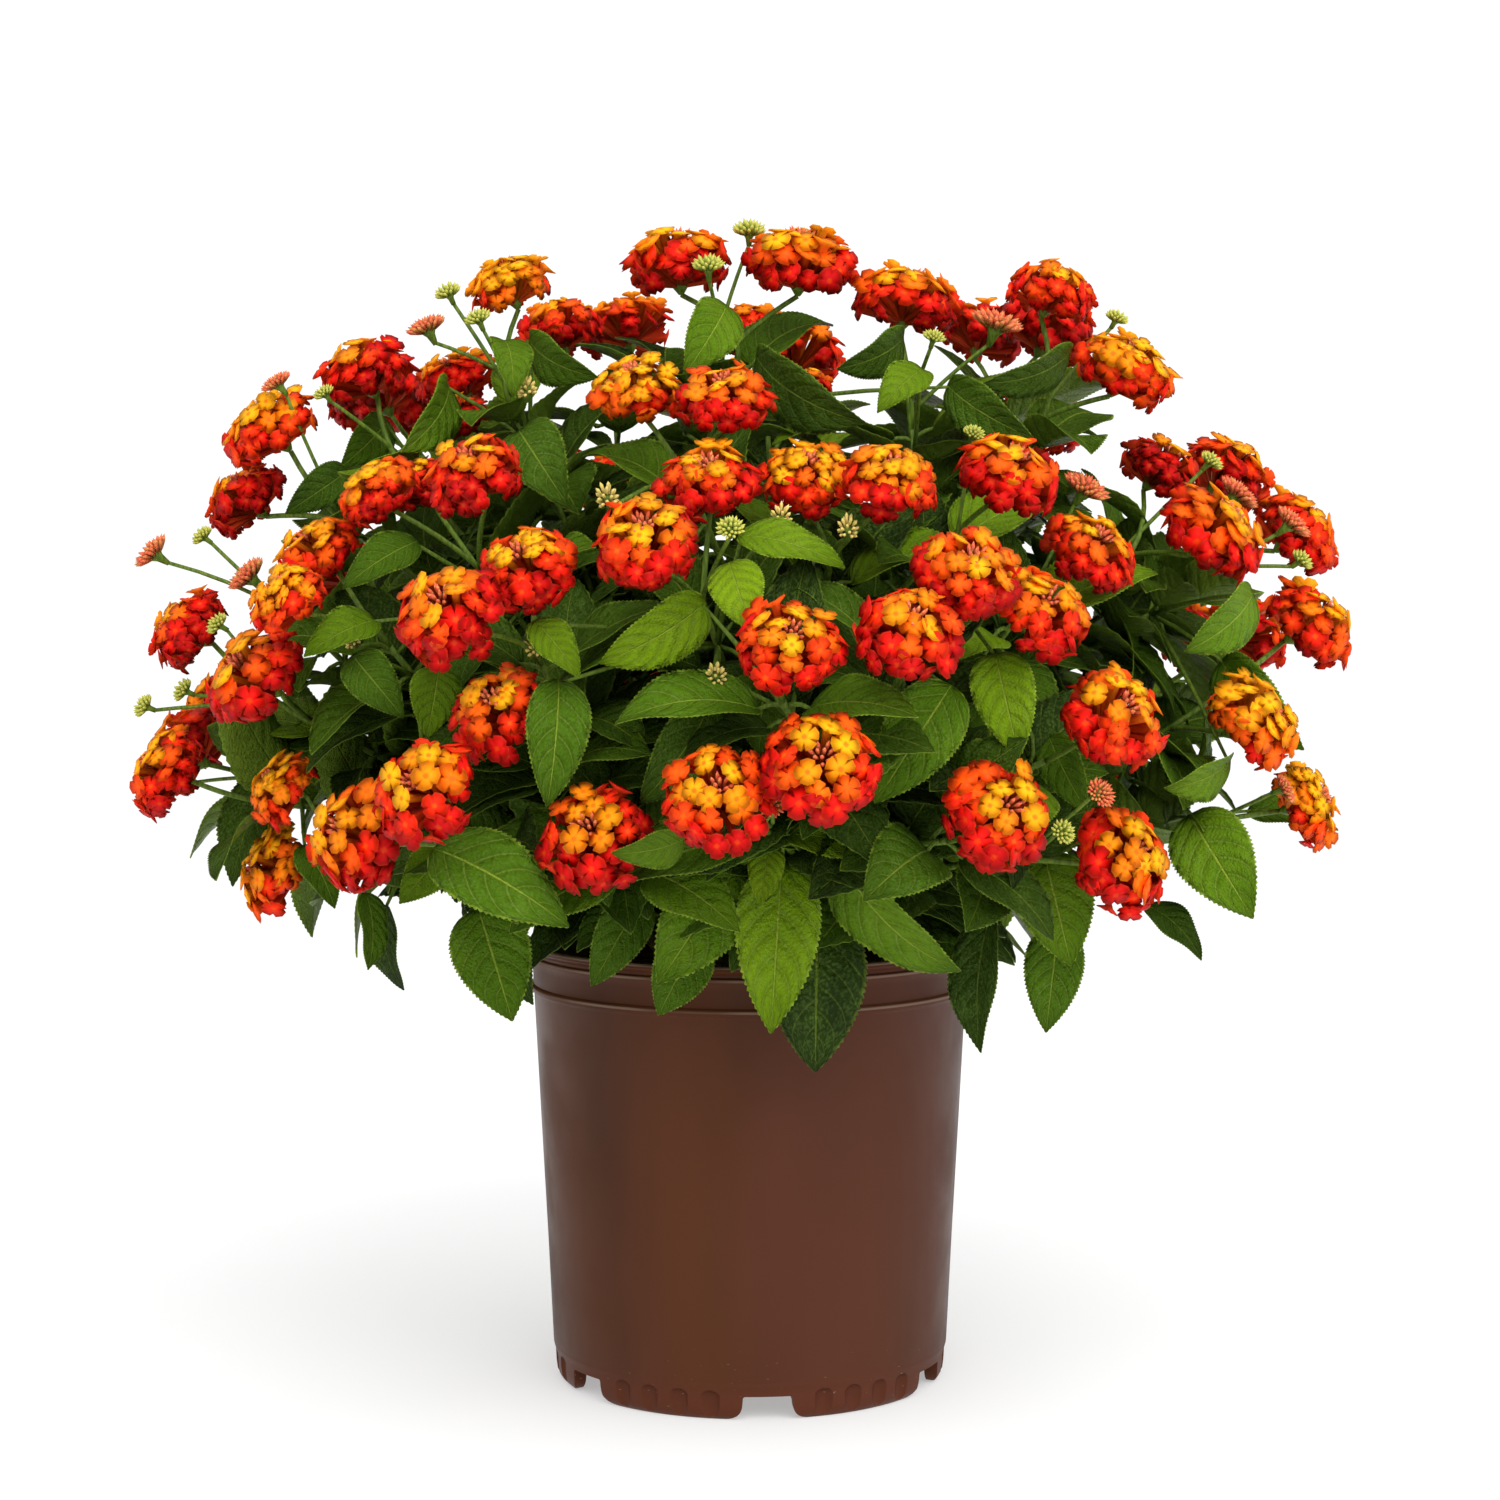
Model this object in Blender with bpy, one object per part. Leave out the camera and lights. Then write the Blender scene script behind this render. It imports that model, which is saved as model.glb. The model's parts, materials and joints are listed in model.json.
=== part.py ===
"""A lantana in a brown nursery pot, standing on its foot: +Z up, the origin on the floor.

The pot and the soil are turned shapes. Ten leafy stems stand in holes in the soil, fork inside the canopy and
carry leaves in crossed pairs. A spray sits on the end of each twig: its stalks, flower heads and bud heads in
one body. The heads and the large leaves that show from the front are placed by where they are in the picture,
the rest by a rule, and each leaf is turned, bent or made smaller until it clears what stands there already.
"""

import math

import bmesh
import bpy
from mathutils import Matrix, Quaternion, Vector
from mathutils.bvhtree import BVHTree

MM = 0.001
GAP = 0.3 * MM  # left between any two pieces that touch
UP = Vector((0, 0, 1))

# The pot
POT_HEIGHT = 166 * MM
LIP_RADIUS = 85 * MM
WALL_TOP_RADIUS = 82 * MM
WALL_FOOT_RADIUS = 75 * MM
CONTACT_RADIUS = 71.5 * MM
WALL = 1.8 * MM
FLOOR_UNDERSIDE = 6.5 * MM
FOOT_HEIGHT = 12.5 * MM
POT_SIDES = 30
NOTCHES = 6
FIRST_NOTCH = 5.0  # degrees from the front
NOTCH_HEIGHT = 9 * MM
NOTCH_TOP_WIDTH = 17 * MM
NOTCH_FLOOR_WIDTH = 25 * MM
NOTCH_REACH = 15 * MM  # how far a notch runs in under the floor, as a drain hole
FLUTES = (-13.8, -4.6, 4.6, 13.8)  # degrees from the middle of each pad
FLUTE_RADIUS = 3.2 * MM
FLUTE_DEPTH = 1.1 * MM

# The soil
SOIL_TOP = 151 * MM
SOIL_SIDES = 18
SOIL_LUMP = 2.5 * MM
HOLE_DEPTH = 32 * MM

# The picture that blooms and leaves are placed by
EYE = Vector((0, -1.2, 0.31))
EYE_PITCH = math.radians(3.43)
FOCAL_PIXELS = 3170
PICTURE_MIDDLE = (751, 750)

# The canopy is an ellipsoid, lower below its waist than above
WAIST = 0.262
CANOPY_RADIUS = Vector((0.215, 0.205, 0.165))
CANOPY_BELOW = 0.105
CORE = Vector((0, 0, 0.165))  # where the stems part, and what the blooms face away from

# Flower heads and buds
HEAD_RISE = 0.78  # a head's half height as a share of its radius
FLORET_TOP = 1.07  # how far out a floret's middle, its ends and its edge are, as shares of the head's radius
RIDGE = 0.97
FLORET_EDGE = 0.85
HEAD_STAND = 36 * MM  # from the twig's end to the heads
STALK_RADIUS = 1.4 * MM
BRANCH_FOOT = 0.6 * MM  # the sunk end of a stalk that grows from another
FIRST_BRANCH = 5 * MM  # up the first stalk, and from one branch to the next
BRANCH_STEP = 3 * MM
# Where a stalk meets its head, and how wide it is there, as shares of the head's radius
NECK = {"open": (0.62, 0.16), "bud": (0.8, 0.2), "rosy": (0.8, 0.2)}
BACK_SPRAYS = 12
BACK_HEAD = 36 * MM
SEEN_SPRAYS = (
    # Each row is one spray: (kind, picture x and y, width in pixels, depth from 0 at the front to 1)
    (
        ("open", 679, 264, 98, 0.42), ("open", 801, 264, 102, 0.4), ("bud", 709, 265, 36, 0.25),
        ("bud", 750, 230, 36, 0.4),
    ),
    (("open", 752, 334, 74, 0.8), ("open", 800, 392, 66, 0.72)),
    (("open", 639, 391, 84, 0.2), ("open", 726, 401, 88, 0.12)),
    (("open", 908, 302, 96, 0.42), ("rosy", 999, 322, 58, 0.4), ("bud", 935, 337, 26, 0.3)),
    (("open", 1053, 294, 82, 0.55), ("open", 1126, 372, 92, 0.35), ("bud", 1118, 318, 26, 0.45)),
    (
        ("open", 511, 286, 78, 0.5), ("bud", 449, 292, 30, 0.45), ("bud", 479, 318, 30, 0.35),
        ("rosy", 427, 326, 46, 0.45),
    ),
    (("open", 560, 332, 80, 0.78), ("open", 628, 328, 82, 0.8)),
    (("open", 363, 375, 88, 0.5), ("bud", 325, 393, 24, 0.4)),
    (("open", 272, 430, 90, 0.45), ("open", 248, 500, 80, 0.6), ("rosy", 277, 382, 36, 0.55)),
    (("open", 460, 380, 76, 0.6), ("open", 454, 424, 66, 0.5)),
    (("open", 381, 493, 78, 0.22), ("open", 421, 487, 64, 0.34), ("open", 476, 477, 92, 0.1)),
    (("rosy", 152, 552, 46, 0.5), ("bud", 203, 536, 26, 0.45), ("rosy", 247, 575, 50, 0.4)),
    (("open", 320, 554, 84, 0.22), ("open", 290, 600, 78, 0.1)),
    (
        ("open", 191, 631, 84, 0.5), ("open", 256, 680, 104, 0.1), ("bud", 218, 624, 28, 0.2),
        ("bud", 184, 690, 28, 0.45), ("bud", 145, 706, 28, 0.38),
    ),
    (("open", 168, 774, 86, 0.5),),
    (("open", 285, 788, 74, 0.3), ("open", 278, 872, 88, 0.35)),
    (("open", 361, 838, 104, 0.0), ("open", 430, 792, 104, 0.0)),
    (("open", 450, 617, 104, 0.0), ("open", 528, 570, 94, 0.05)),
    (("open", 502, 714, 94, 0.08),),
    (("open", 598, 838, 104, 0.04),),
    (("open", 647, 545, 102, 0.03), ("open", 710, 484, 92, 0.12), ("bud", 731, 528, 32, 0.0)),
    (("open", 808, 481, 88, 0.15), ("open", 892, 484, 92, 0.1)),
    (("open", 791, 648, 100, 0.0),),
    (("open", 822, 768, 108, 0.0), ("open", 720, 800, 104, 0.0), ("rosy", 773, 803, 38, 0.0)),
    (("open", 909, 634, 102, 0.0), ("open", 967, 577, 100, 0.05)),
    (("open", 1040, 615, 98, 0.04), ("open", 1091, 554, 90, 0.2), ("rosy", 1088, 487, 54, 0.3)),
    (("open", 1010, 477, 98, 0.14), ("bud", 975, 433, 26, 0.2)),
    (("open", 1161, 471, 80, 0.5), ("open", 1212, 534, 104, 0.25), ("bud", 1212, 461, 28, 0.5)),
    (("rosy", 1240, 493, 50, 0.6), ("rosy", 1294, 522, 46, 0.5), ("bud", 1303, 560, 28, 0.4)),
    (("open", 1311, 627, 94, 0.66), ("open", 1251, 723, 98, 0.25)),
    (("open", 1305, 805, 78, 0.45), ("rosy", 1287, 789, 34, 0.2)),
    (("open", 1114, 720, 102, 0.05),),
    (("open", 1121, 860, 104, 0.02), ("rosy", 1102, 793, 36, 0.0), ("bud", 1064, 832, 30, 0.0)),
    (("open", 999, 816, 104, 0.0),),
)

# Stems, as (degrees round from the front, degrees above the horizon)
STEM_WAYS = (
    (-62, 20), (-20, 16), (22, 16), (64, 20), (128, 22), (-135, 22), (-70, 58), (2, 52), (80, 58), (180, 56),
)
STEM_RADIUS = 2.7 * MM
FORK_RADIUS = 2.2 * MM
TWIG_RADIUS = 1.6 * MM
TWIG_ROOT = 0.75  # a twig's radius where it is sunk in its stem, as a share of its own
TWIG_CORNERS = ((1, -1), (1, 1), (-1, 1), (-1, -1))  # level and upright, so that side 0 faces level
CROWN_RADIUS = 30 * MM  # of the ring of holes in the soil
FORK_SPREAD = 0.42  # the last share of a stem, along which it forks
TWIG_BOW = 0.22  # how far along its fork's direction a twig leaves, as a share of its length
BOW_TRIES = (0, 10, 20, 30, 42, 56)  # mm that a twig's bow moves to pass the sprays
BOW_WAYS = 8  # round the twig
LAST_FORK = 0.02  # how far short of the stem's end, as a share of it, the last twig starts
PAIR_STEP = 27 * MM  # along a twig
LOWER_PAIRS = ((90, 1.04, 0.1), (0, 1.16, 0.3))  # at the back: (degrees round the twig, size, droop)
LOWEST_JOINT = 0.2  # the share of a twig below which no pair grows

# Leaves
PETIOLE = 9 * MM
PETIOLE_RADIUS = 0.9 * MM
LONG_PETIOLE = 14 * MM
SHARPEST_BEND = 0.05  # the cosine between a leaf's stalk and its blade
JOINT = 2.8 * MM  # the stretch of a twig that a pair of leaves grows from
SIDE_STEP = 11 * MM  # between two leaves on one side of a twig
SQUAREST = 0.5  # the least cosine between a leaf's stalk and the side of the twig it stands on
SEEN_JOINTS = (0.3, 0.45, 0.6, 0.75, 0.9)  # where on a twig a leaf of the picture can grow
LEAF_LENGTH = 52 * MM
LEAF_ASPECT = 0.58  # width over length
LEAF_THICKNESS = 1.6 * MM  # at the midrib
LEAF_MIDDLE = 0.42  # where along the blade its two faces are fanned from
LEAF_EDGE = ((0.1, 0.97), (0.33, 1.08), (0.39, 0.93), (0.63, 1.1), (0.7, 0.9))  # shares of length and width
CLEARANCE = 1.8 * MM  # that a leaf's middle keeps to other pieces
LEAF_TRIES = (
    # (degrees round the twig, more droop, size)
    (0, 0, 1), (14, 0, 1), (-14, 0, 1), (0, 0.25, 1), (26, 0.1, 0.94), (-26, 0.1, 0.94), (0, 0.5, 0.9),
    (40, 0, 0.88), (-40, 0, 0.88), (16, 0.6, 0.85), (-16, 0.6, 0.85), (0, -0.3, 0.8),
)
SEEN_TRIES = (0, 8, -8, 16, -16, 24, -24, 34, -34, 44)  # mm nearer to the eye
SEEN_LEAVES = (
    # (base x and y, tip x and y, width seen, in pixels; mm in front of the axis at the base and at the tip)
    (783, 862, 772, 1030, 89, 118, 130), (770, 846, 761, 905, 38, 140, 150),
    (819, 912, 816, 1072, 100, 100, 106), (840, 856, 963, 972, 60, 125, 124),
    (788, 835, 891, 865, 40, 142, 150), (991, 916, 982, 1050, 50, 92, 98),
    (1045, 853, 1072, 965, 80, 110, 122), (1060, 925, 1047, 1032, 60, 88, 95),
    (1147, 905, 1203, 961, 30, 62, 72), (1190, 814, 1253, 917, 80, 70, 92),
    (479, 908, 513, 1020, 80, 95, 105), (500, 890, 534, 1004, 50, 80, 84),
    (366, 892, 369, 970, 30, 70, 76), (385, 905, 405, 991, 30, 62, 68),
    (434, 848, 571, 928, 80, 110, 122), (455, 841, 400, 904, 50, 100, 112),
    (304, 845, 336, 909, 38, 60, 72), (643, 896, 592, 987, 55, 100, 110),
    (738, 867, 660, 982, 88, 116, 124), (700, 935, 660, 1014, 60, 98, 102),
    (687, 838, 612, 853, 36, 140, 150), (279, 767, 234, 885, 54, 20, 42),
    (728, 305, 685, 375, 56, 60, 85), (757, 356, 867, 423, 60, 85, 112),
    (905, 337, 838, 369, 42, 40, 62), (924, 369, 879, 412, 42, 70, 90),
    (1072, 352, 985, 383, 40, 40, 62), (948, 385, 1034, 438, 52, 75, 92),
    (505, 340, 514, 398, 42, 40, 62), (530, 340, 600, 378, 42, 30, 50),
    (450, 385, 403, 452, 46, 30, 62), (520, 430, 569, 506, 66, 70, 96),
    (389, 421, 341, 468, 42, 0, 20), (349, 471, 286, 514, 42, 20, 32),
    (707, 602, 599, 664, 62, 162, 172), (730, 562, 753, 631, 56, 162, 176),
    (739, 535, 844, 567, 38, 156, 166), (765, 672, 760, 755, 86, 166, 178),
    (714, 700, 640, 805, 64, 160, 164), (953, 685, 876, 803, 80, 158, 166),
    (560, 679, 548, 806, 66, 148, 158), (996, 653, 1020, 757, 66, 150, 162),
    (1254, 592, 1184, 653, 48, 80, 100), (1222, 660, 1305, 750, 62, 62, 84),
    (1232, 760, 1166, 788, 34, 80, 100), (1050, 736, 1088, 812, 46, 128, 142),
    (1248, 810, 1338, 830, 32, 30, 42), (440, 669, 428, 739, 52, 120, 132),
    (353, 655, 405, 718, 50, 108, 120), (377, 620, 306, 656, 40, 90, 110),
    (535, 620, 580, 677, 40, 148, 160), (419, 541, 345, 588, 42, 98, 112),
)


def draw(*keys):
    """A number from -1 to 1 that looks random and is the same each time for the same keys."""
    mixed = sum((k + 1.37) * p for k, p in zip(keys, (12.9898, 78.233, 37.719)))
    return 2 * ((math.sin(mixed) * 43758.5453) % 1) - 1


def way(around, above):
    """A direction, by degrees round from the front and degrees above the horizon."""
    a, e = math.radians(around), math.radians(above)
    return Vector((math.sin(a) * math.cos(e), -math.cos(a) * math.cos(e), math.sin(e)))


def sight(u, v):
    """The direction from the eye through a pixel of the picture."""
    right = (u - PICTURE_MIDDLE[0]) / FOCAL_PIXELS
    up = (PICTURE_MIDDLE[1] - v) / FOCAL_PIXELS
    cos, sin = math.cos(EYE_PITCH), math.sin(EYE_PITCH)
    return Vector((right, cos + up * sin, up * cos - sin))


def through_canopy(u, v, depth):
    """Where the line of sight runs through the canopy, from its front at depth 0 to its back at depth 1."""
    ray = sight(u, v)
    for rise in (CANOPY_RADIUS.z, CANOPY_BELOW):
        scale = Vector((1 / CANOPY_RADIUS.x, 1 / CANOPY_RADIUS.y, 1 / rise))
        o = (EYE - UP * WAIST) * scale
        d = ray * scale
        nearest = -o.dot(d) / d.dot(d)
        half = math.sqrt(max(0, nearest**2 - (o.dot(o) - 1) / d.dot(d)))
        place = EYE + ray * (nearest + (2 * depth - 1) * half)
        if place.z >= WAIST:
            break
    return place


def on_canopy(direction):
    """The canopy's surface in a direction from its waist's middle."""
    rise = CANOPY_RADIUS.z if direction.z > 0 else CANOPY_BELOW
    scaled = Vector((direction.x / CANOPY_RADIUS.x, direction.y / CANOPY_RADIUS.y, direction.z / rise))
    return UP * WAIST + direction / scaled.length


def seen_sprays():
    sprays = []
    for rows in SEEN_SPRAYS:
        heads = []
        for kind, u, v, width, depth in rows:
            place = through_canopy(u, v, depth)
            far = (place - EYE).dot(sight(u, v).normalized())
            heads.append({"kind": kind, "at": place, "radius": width * far / FOCAL_PIXELS / 2, "seen": True})
        sprays.append({"heads": heads})
    return sprays


def back_sprays():
    """The sprays that the picture doesn't show, spread over the back by the golden angle."""
    sprays = []
    for k in range(BACK_SPRAYS):
        height = -0.22 + 1.02 * (k + 0.5) / BACK_SPRAYS
        around = 180 + 196 * ((k * 0.618 + 0.31) % 1 - 0.5) * (1 - 0.25 * height)
        middle = on_canopy(way(around, math.degrees(math.asin(height))))
        out = (middle - CORE).normalized()
        side = out.cross(UP).normalized()
        turned = Quaternion(out, math.radians(50 * draw(k, 3))) @ side
        heads = []
        for sign in (-1, 1):
            across = turned * sign * (21 + 2 * draw(k, sign)) * MM
            size = BACK_HEAD * (0.5 + 0.04 * draw(k, sign, 5))
            heads.append({"kind": "open", "at": middle + across, "radius": size, "seen": False})
        if k % 2:
            bud = middle + out.cross(turned) * 20 * MM + out * 4 * MM
            heads.append({"kind": "rosy", "at": bud, "radius": 8 * MM, "seen": False})
        sprays.append({"heads": heads})
    return sprays


def settle(sprays):
    """Moves heads apart until they clear: those in the picture only along the line of sight."""
    heads = [(n, h) for n, s in enumerate(sprays) for h in s["heads"]]
    for _ in range(60):
        for i, (spray_a, a) in enumerate(heads):
            for spray_b, b in heads[i + 1 :]:
                apart = b["at"] - a["at"]
                same = 1.0 if spray_a == spray_b else 1.12
                short = (a["radius"] + b["radius"]) * same + 0.5 * MM - apart.length
                if short <= 0:
                    continue
                for head, sign in ((a, -1), (b, 1)):
                    if head["seen"]:
                        ray = (head["at"] - EYE).normalized()
                        ahead = 1 if apart.dot(ray) * sign >= 0 else -1
                        head["at"] = head["at"] + ray * ahead * short * 0.35
                    else:
                        head["at"] = head["at"] + apart.normalized() * sign * short * 0.5
    for spray in sprays:
        for head in spray["heads"]:
            head["faces"] = (head["at"] - CORE).normalized()


def place_stalks(sprays):
    """Gives each head its stalk's foot: on the twig's end for the first, and on its stalk for the rest."""
    for spray in sprays:
        for head in spray["heads"]:
            head["neck"] = head["at"] - head["faces"] * head["radius"] * NECK[head["kind"]][0]
        first, *others = spray["heads"]
        lead = (spray["end"] - spray["bow"]).normalized()
        first.update({"foot": spray["end"] + lead * GAP, "lead": lead, "foot radius": STALK_RADIUS})
        stalk = (first["neck"] - first["foot"]).normalized()
        for k, head in enumerate(others):
            head["foot"] = first["foot"] + stalk * (FIRST_BRANCH + k * BRANCH_STEP)
            head["lead"] = (head["neck"] - head["foot"]).normalized()
            head["foot radius"] = BRANCH_FOOT


def place_twig_ends(sprays):
    for spray in sprays:
        middle = sum((h["at"] for h in spray["heads"]), Vector()) / len(spray["heads"])
        out = (middle - CORE).normalized()
        nearest = min((h["at"] - CORE).dot(out) for h in spray["heads"])
        spray["out"] = out
        spray["end"] = CORE + out * (nearest - HEAD_STAND)


def bend(start, leave, end, count):
    """Points on a curve from start, leaving in a direction, to end."""
    control = start + leave.normalized() * (end - start).length * 0.45
    curve = []
    for i in range(count + 1):
        t = i / count
        curve.append(start * (1 - t) ** 2 + control * 2 * t * (1 - t) + end * t**2)
    return curve


def along(path, share):
    """A point and a direction on a path, at a share of its length."""
    lengths = [(b - a).length for a, b in zip(path, path[1:])]
    left = share * sum(lengths)
    for a, b, length in zip(path, path[1:], lengths):
        if left <= length or b is path[-1]:
            return a.lerp(b, min(1, left / length)), (b - a).normalized()
        left -= length


def grow_stems(sprays):
    """Ten stems: each takes the sprays that lie nearest its own way, and sends a twig to each."""
    stems = [{"way": way(*w), "sprays": [], "leaves": []} for w in STEM_WAYS]
    for spray in sprays:
        direction = (spray["end"] - CORE).normalized()
        max(stems, key=lambda s: s["way"].dot(direction))["sprays"].append(spray)
    for stem in stems:
        aim = sum((s["end"] for s in stem["sprays"]), Vector()) / len(stem["sprays"])
        flat = Vector((stem["way"].x, stem["way"].y, 0))
        foot = flat * CROWN_RADIUS / max(0.6, flat.length)
        root = foot + UP * (SOIL_TOP - HOLE_DEPTH + GAP)
        crown = foot + UP * (SOIL_TOP + 3 * MM)
        last = CORE.lerp(aim, 0.5)
        stem["main"] = [root, *bend(crown, foot + UP * 45 * MM, last, 3)]
        ahead = (last - stem["main"][-2]).normalized()
        stem["sprays"].sort(key=lambda s: ahead.dot((s["end"] - last).normalized()))
        for k, spray in enumerate(stem["sprays"], 1):
            share = 1 - FORK_SPREAD * (1 - k / len(stem["sprays"])) - LAST_FORK
            fork, direction = along(stem["main"], share)
            spray["fork"] = fork
            length = spray["end"] - fork
            spray["bow"] = fork + (direction + length.normalized()) * length.length * TWIG_BOW
            spray["joints"] = {}
    return stems


def twig_length(spray):
    return (spray["end"] - spray["fork"]).length


def twig_frame(spray, t):
    """A twig's middle at t, from 0 at its fork to 1 at its end, its direction, and its two sides."""
    a, b, c = spray["fork"], spray["bow"], spray["end"]
    place = a * (1 - t) ** 2 + b * 2 * t * (1 - t) + c * t**2
    ahead = ((b - a) * (1 - t) + (c - b) * t).normalized()
    level = (c - a).cross(UP)
    level = (level - ahead * level.dot(ahead)).normalized()
    return place, ahead, level, ahead.cross(level)


def twig_corners(spray, t):
    """The four corners of a twig's section at t."""
    place, _, level, upright = twig_frame(spray, t)
    radius = TWIG_RADIUS * (TWIG_ROOT + (1 - TWIG_ROOT) * min(1, 4 * t)) * 0.8
    return [place + (level * x + upright * y) * radius for x, y in TWIG_CORNERS]


def joint_near(spray, t):
    """The twig's joint at t, or the one that is too near to it for another."""
    near = [u for u in spray["joints"] if abs(u - t) * twig_length(spray) < 1.4 * JOINT]
    return near[0] if near else t


def free_side(spray, t, direction):
    """The side of a twig that faces a direction best at t, from 0 to 3, if no leaf stands on it nearby."""
    level, upright = twig_frame(spray, t)[2:]
    outs = (level, upright, -level, -upright)
    near = [leaves for u, leaves in spray["joints"].items() if abs(u - t) * twig_length(spray) < SIDE_STEP]
    free = {k: out.dot(direction) for k, out in enumerate(outs) if not any(k in leaves for leaves in near)}
    best = max(free, key=free.get, default=None)
    return best if best is not None and free[best] > SQUAREST else None


def leaf_frame(leaf, u):
    """The midrib at a share u of the blade's length, and the blade's normal there."""
    half = leaf["arch"] / 2
    turn = half - leaf["arch"] * u
    reach = leaf["length"] / leaf["arch"]
    ahead = reach * (math.sin(half) - math.sin(turn))
    above = reach * (math.cos(turn) - math.cos(half))
    place = leaf["base"] + leaf["axis"] * ahead + leaf["normal"] * above
    return place, leaf["normal"] * math.cos(turn) - leaf["axis"] * math.sin(turn)


def leaf_point(leaf, u, across, lift=0.0):
    """A point of a blade: u from 0 at its base to 1 at its tip, across and lift in metres."""
    place, normal = leaf_frame(leaf, u)
    side = leaf["axis"].cross(leaf["normal"])
    raised = abs(across) * math.sin(leaf["fold"]) + lift
    return place + side * across * math.cos(leaf["fold"]) + normal * raised


def half_width(leaf, u):
    """Half the width of the ovate blade at u."""
    return leaf["width"] / 2 * u**0.58 * (1 - u) ** 0.98 / 0.3573


def new_leaf(base, axis, facing, length, width, key):
    normal = (facing - axis * facing.dot(axis)).normalized()
    arch = math.radians(50 + 14 * draw(key, 4))
    fold = math.radians(13 + 6 * draw(key, 5))
    return {
        "base": base, "axis": axis, "normal": normal,
        "length": length, "width": width, "arch": arch, "fold": fold,
    }


def twig_leaf(point, direction, side, size, droop, key):
    """A leaf of a pair, on the side of a twig."""
    fall = droop + 0.12 * draw(key, 1)
    axis = (side * 0.8 + direction * 0.42 - UP * fall).normalized()
    facing = direction * 0.8 + UP * 0.6
    length = LEAF_LENGTH * size * (1 + 0.1 * draw(key, 2))
    width = length * LEAF_ASPECT * (1 + 0.08 * draw(key, 3))
    base = point + axis * PETIOLE * (0.6 + 0.4 * size)
    return new_leaf(base, axis, facing, length, width, key)


def at_distance(u, v, front):
    """Where the line of sight through a pixel is so far in front of the plant's axis."""
    ray = sight(u, v)
    return EYE + ray * ((-front - EYE.y) / ray.y)


def seen_leaf(row, nearer, key):
    """A leaf that shows in the picture, rolled about its midrib until it looks as wide as it does there."""
    base = at_distance(row[0], row[1], (row[5] + nearer) * MM)
    tip = at_distance(row[2], row[3], (row[6] + nearer) * MM)
    chord = (tip - base).length
    axis = (tip - base) / chord
    length = chord * 1.04
    seen = row[4] * (base - EYE).length / FOCAL_PIXELS
    width = min(max(seen, length * 0.5), length * 0.68)
    roll = math.acos(min(1, seen / width)) * (1 if key % 2 else -1)
    facing = Quaternion(axis, roll) @ (EYE - base).normalized()
    return new_leaf(base, axis, facing, length, width, key)


def tube_proxy(path, radius):
    """A square tube as points and faces, for the crossing test."""
    points, faces = [], []
    for i, place in enumerate(path):
        ahead = (path[min(i + 1, len(path) - 1)] - path[max(i - 1, 0)]).normalized()
        a = ahead.orthogonal().normalized()
        b = ahead.cross(a)
        points += [place + (a * x + b * y) * radius for x, y in ((1, 1), (-1, 1), (-1, -1), (1, -1))]
    for i in range(len(path) - 1):
        for k in range(4):
            m = (k + 1) % 4
            faces.append((4 * i + k, 4 * i + m, 4 * i + 4 + m, 4 * i + 4 + k))
    return points, faces


def head_proxy(head):
    """An eight-sided bead round a head or a bud, for the crossing test."""
    out, r = head["faces"], head["radius"] * 1.08
    a = out.orthogonal().normalized()
    b = out.cross(a)
    points = [head["at"] + out * r * HEAD_RISE, head["at"] - out * r * HEAD_RISE]
    for k in range(8):
        t = math.tau * k / 8
        points.append(head["at"] + (a * math.cos(t) + b * math.sin(t)) * r)
    faces = []
    for k in range(8):
        m = (k + 1) % 8
        faces += [(0, 2 + k, 2 + m), (1, 2 + m, 2 + k)]
    return points, faces


def leaf_proxy(leaf, start, half, grow):
    """A leaf as a slab of a half thickness, from a point on its stalk to its tip, for the crossing test."""
    side = leaf["axis"].cross(leaf["normal"]) * (PETIOLE_RADIUS + grow)
    points, faces = [], []
    for lift in (half, -half):
        points += [start + side * x + leaf["normal"] * lift for x in (-1, 0, 1)]
    for u in (0.09, 0.3, 0.55, 0.8, 1.0):
        w = half_width(leaf, u) * 1.04 + grow
        for lift in (half, -half):
            points += [leaf_point(leaf, u, x, lift) for x in (-w, 0, w)]
    last = len(points) - 6
    for low in range(0, last, 6):
        high = low + 6
        for k in (0, 1, 3, 4):
            faces.append((low + k, low + k + 1, high + k + 1, high + k))
        faces.append((low, high, high + 3, low + 3))
        faces.append((low + 2, high + 2, high + 5, low + 5))
    faces.append((last, last + 2, last + 5, last + 3))
    return points, faces


def pot_proxy():
    """The pot's outside with a lid at its mouth."""
    points, faces = [], []
    below_rings = POT_HEIGHT - 18 * MM
    for z, r in ((0, WALL_FOOT_RADIUS), (below_rings, WALL_TOP_RADIUS + 2 * MM), (POT_HEIGHT, LIP_RADIUS)):
        for k in range(24):
            t = math.tau * k / 24
            points.append(Vector((r * math.cos(t), r * math.sin(t), z)))
    for low in (0, 24):
        for k in range(24):
            m = (k + 1) % 24
            faces.append((low + k, low + m, low + 24 + m, low + 24 + k))
    points.append(UP * POT_HEIGHT)
    faces += [(48 + k, 48 + (k + 1) % 24, 72) for k in range(24)]
    return points, faces


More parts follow.
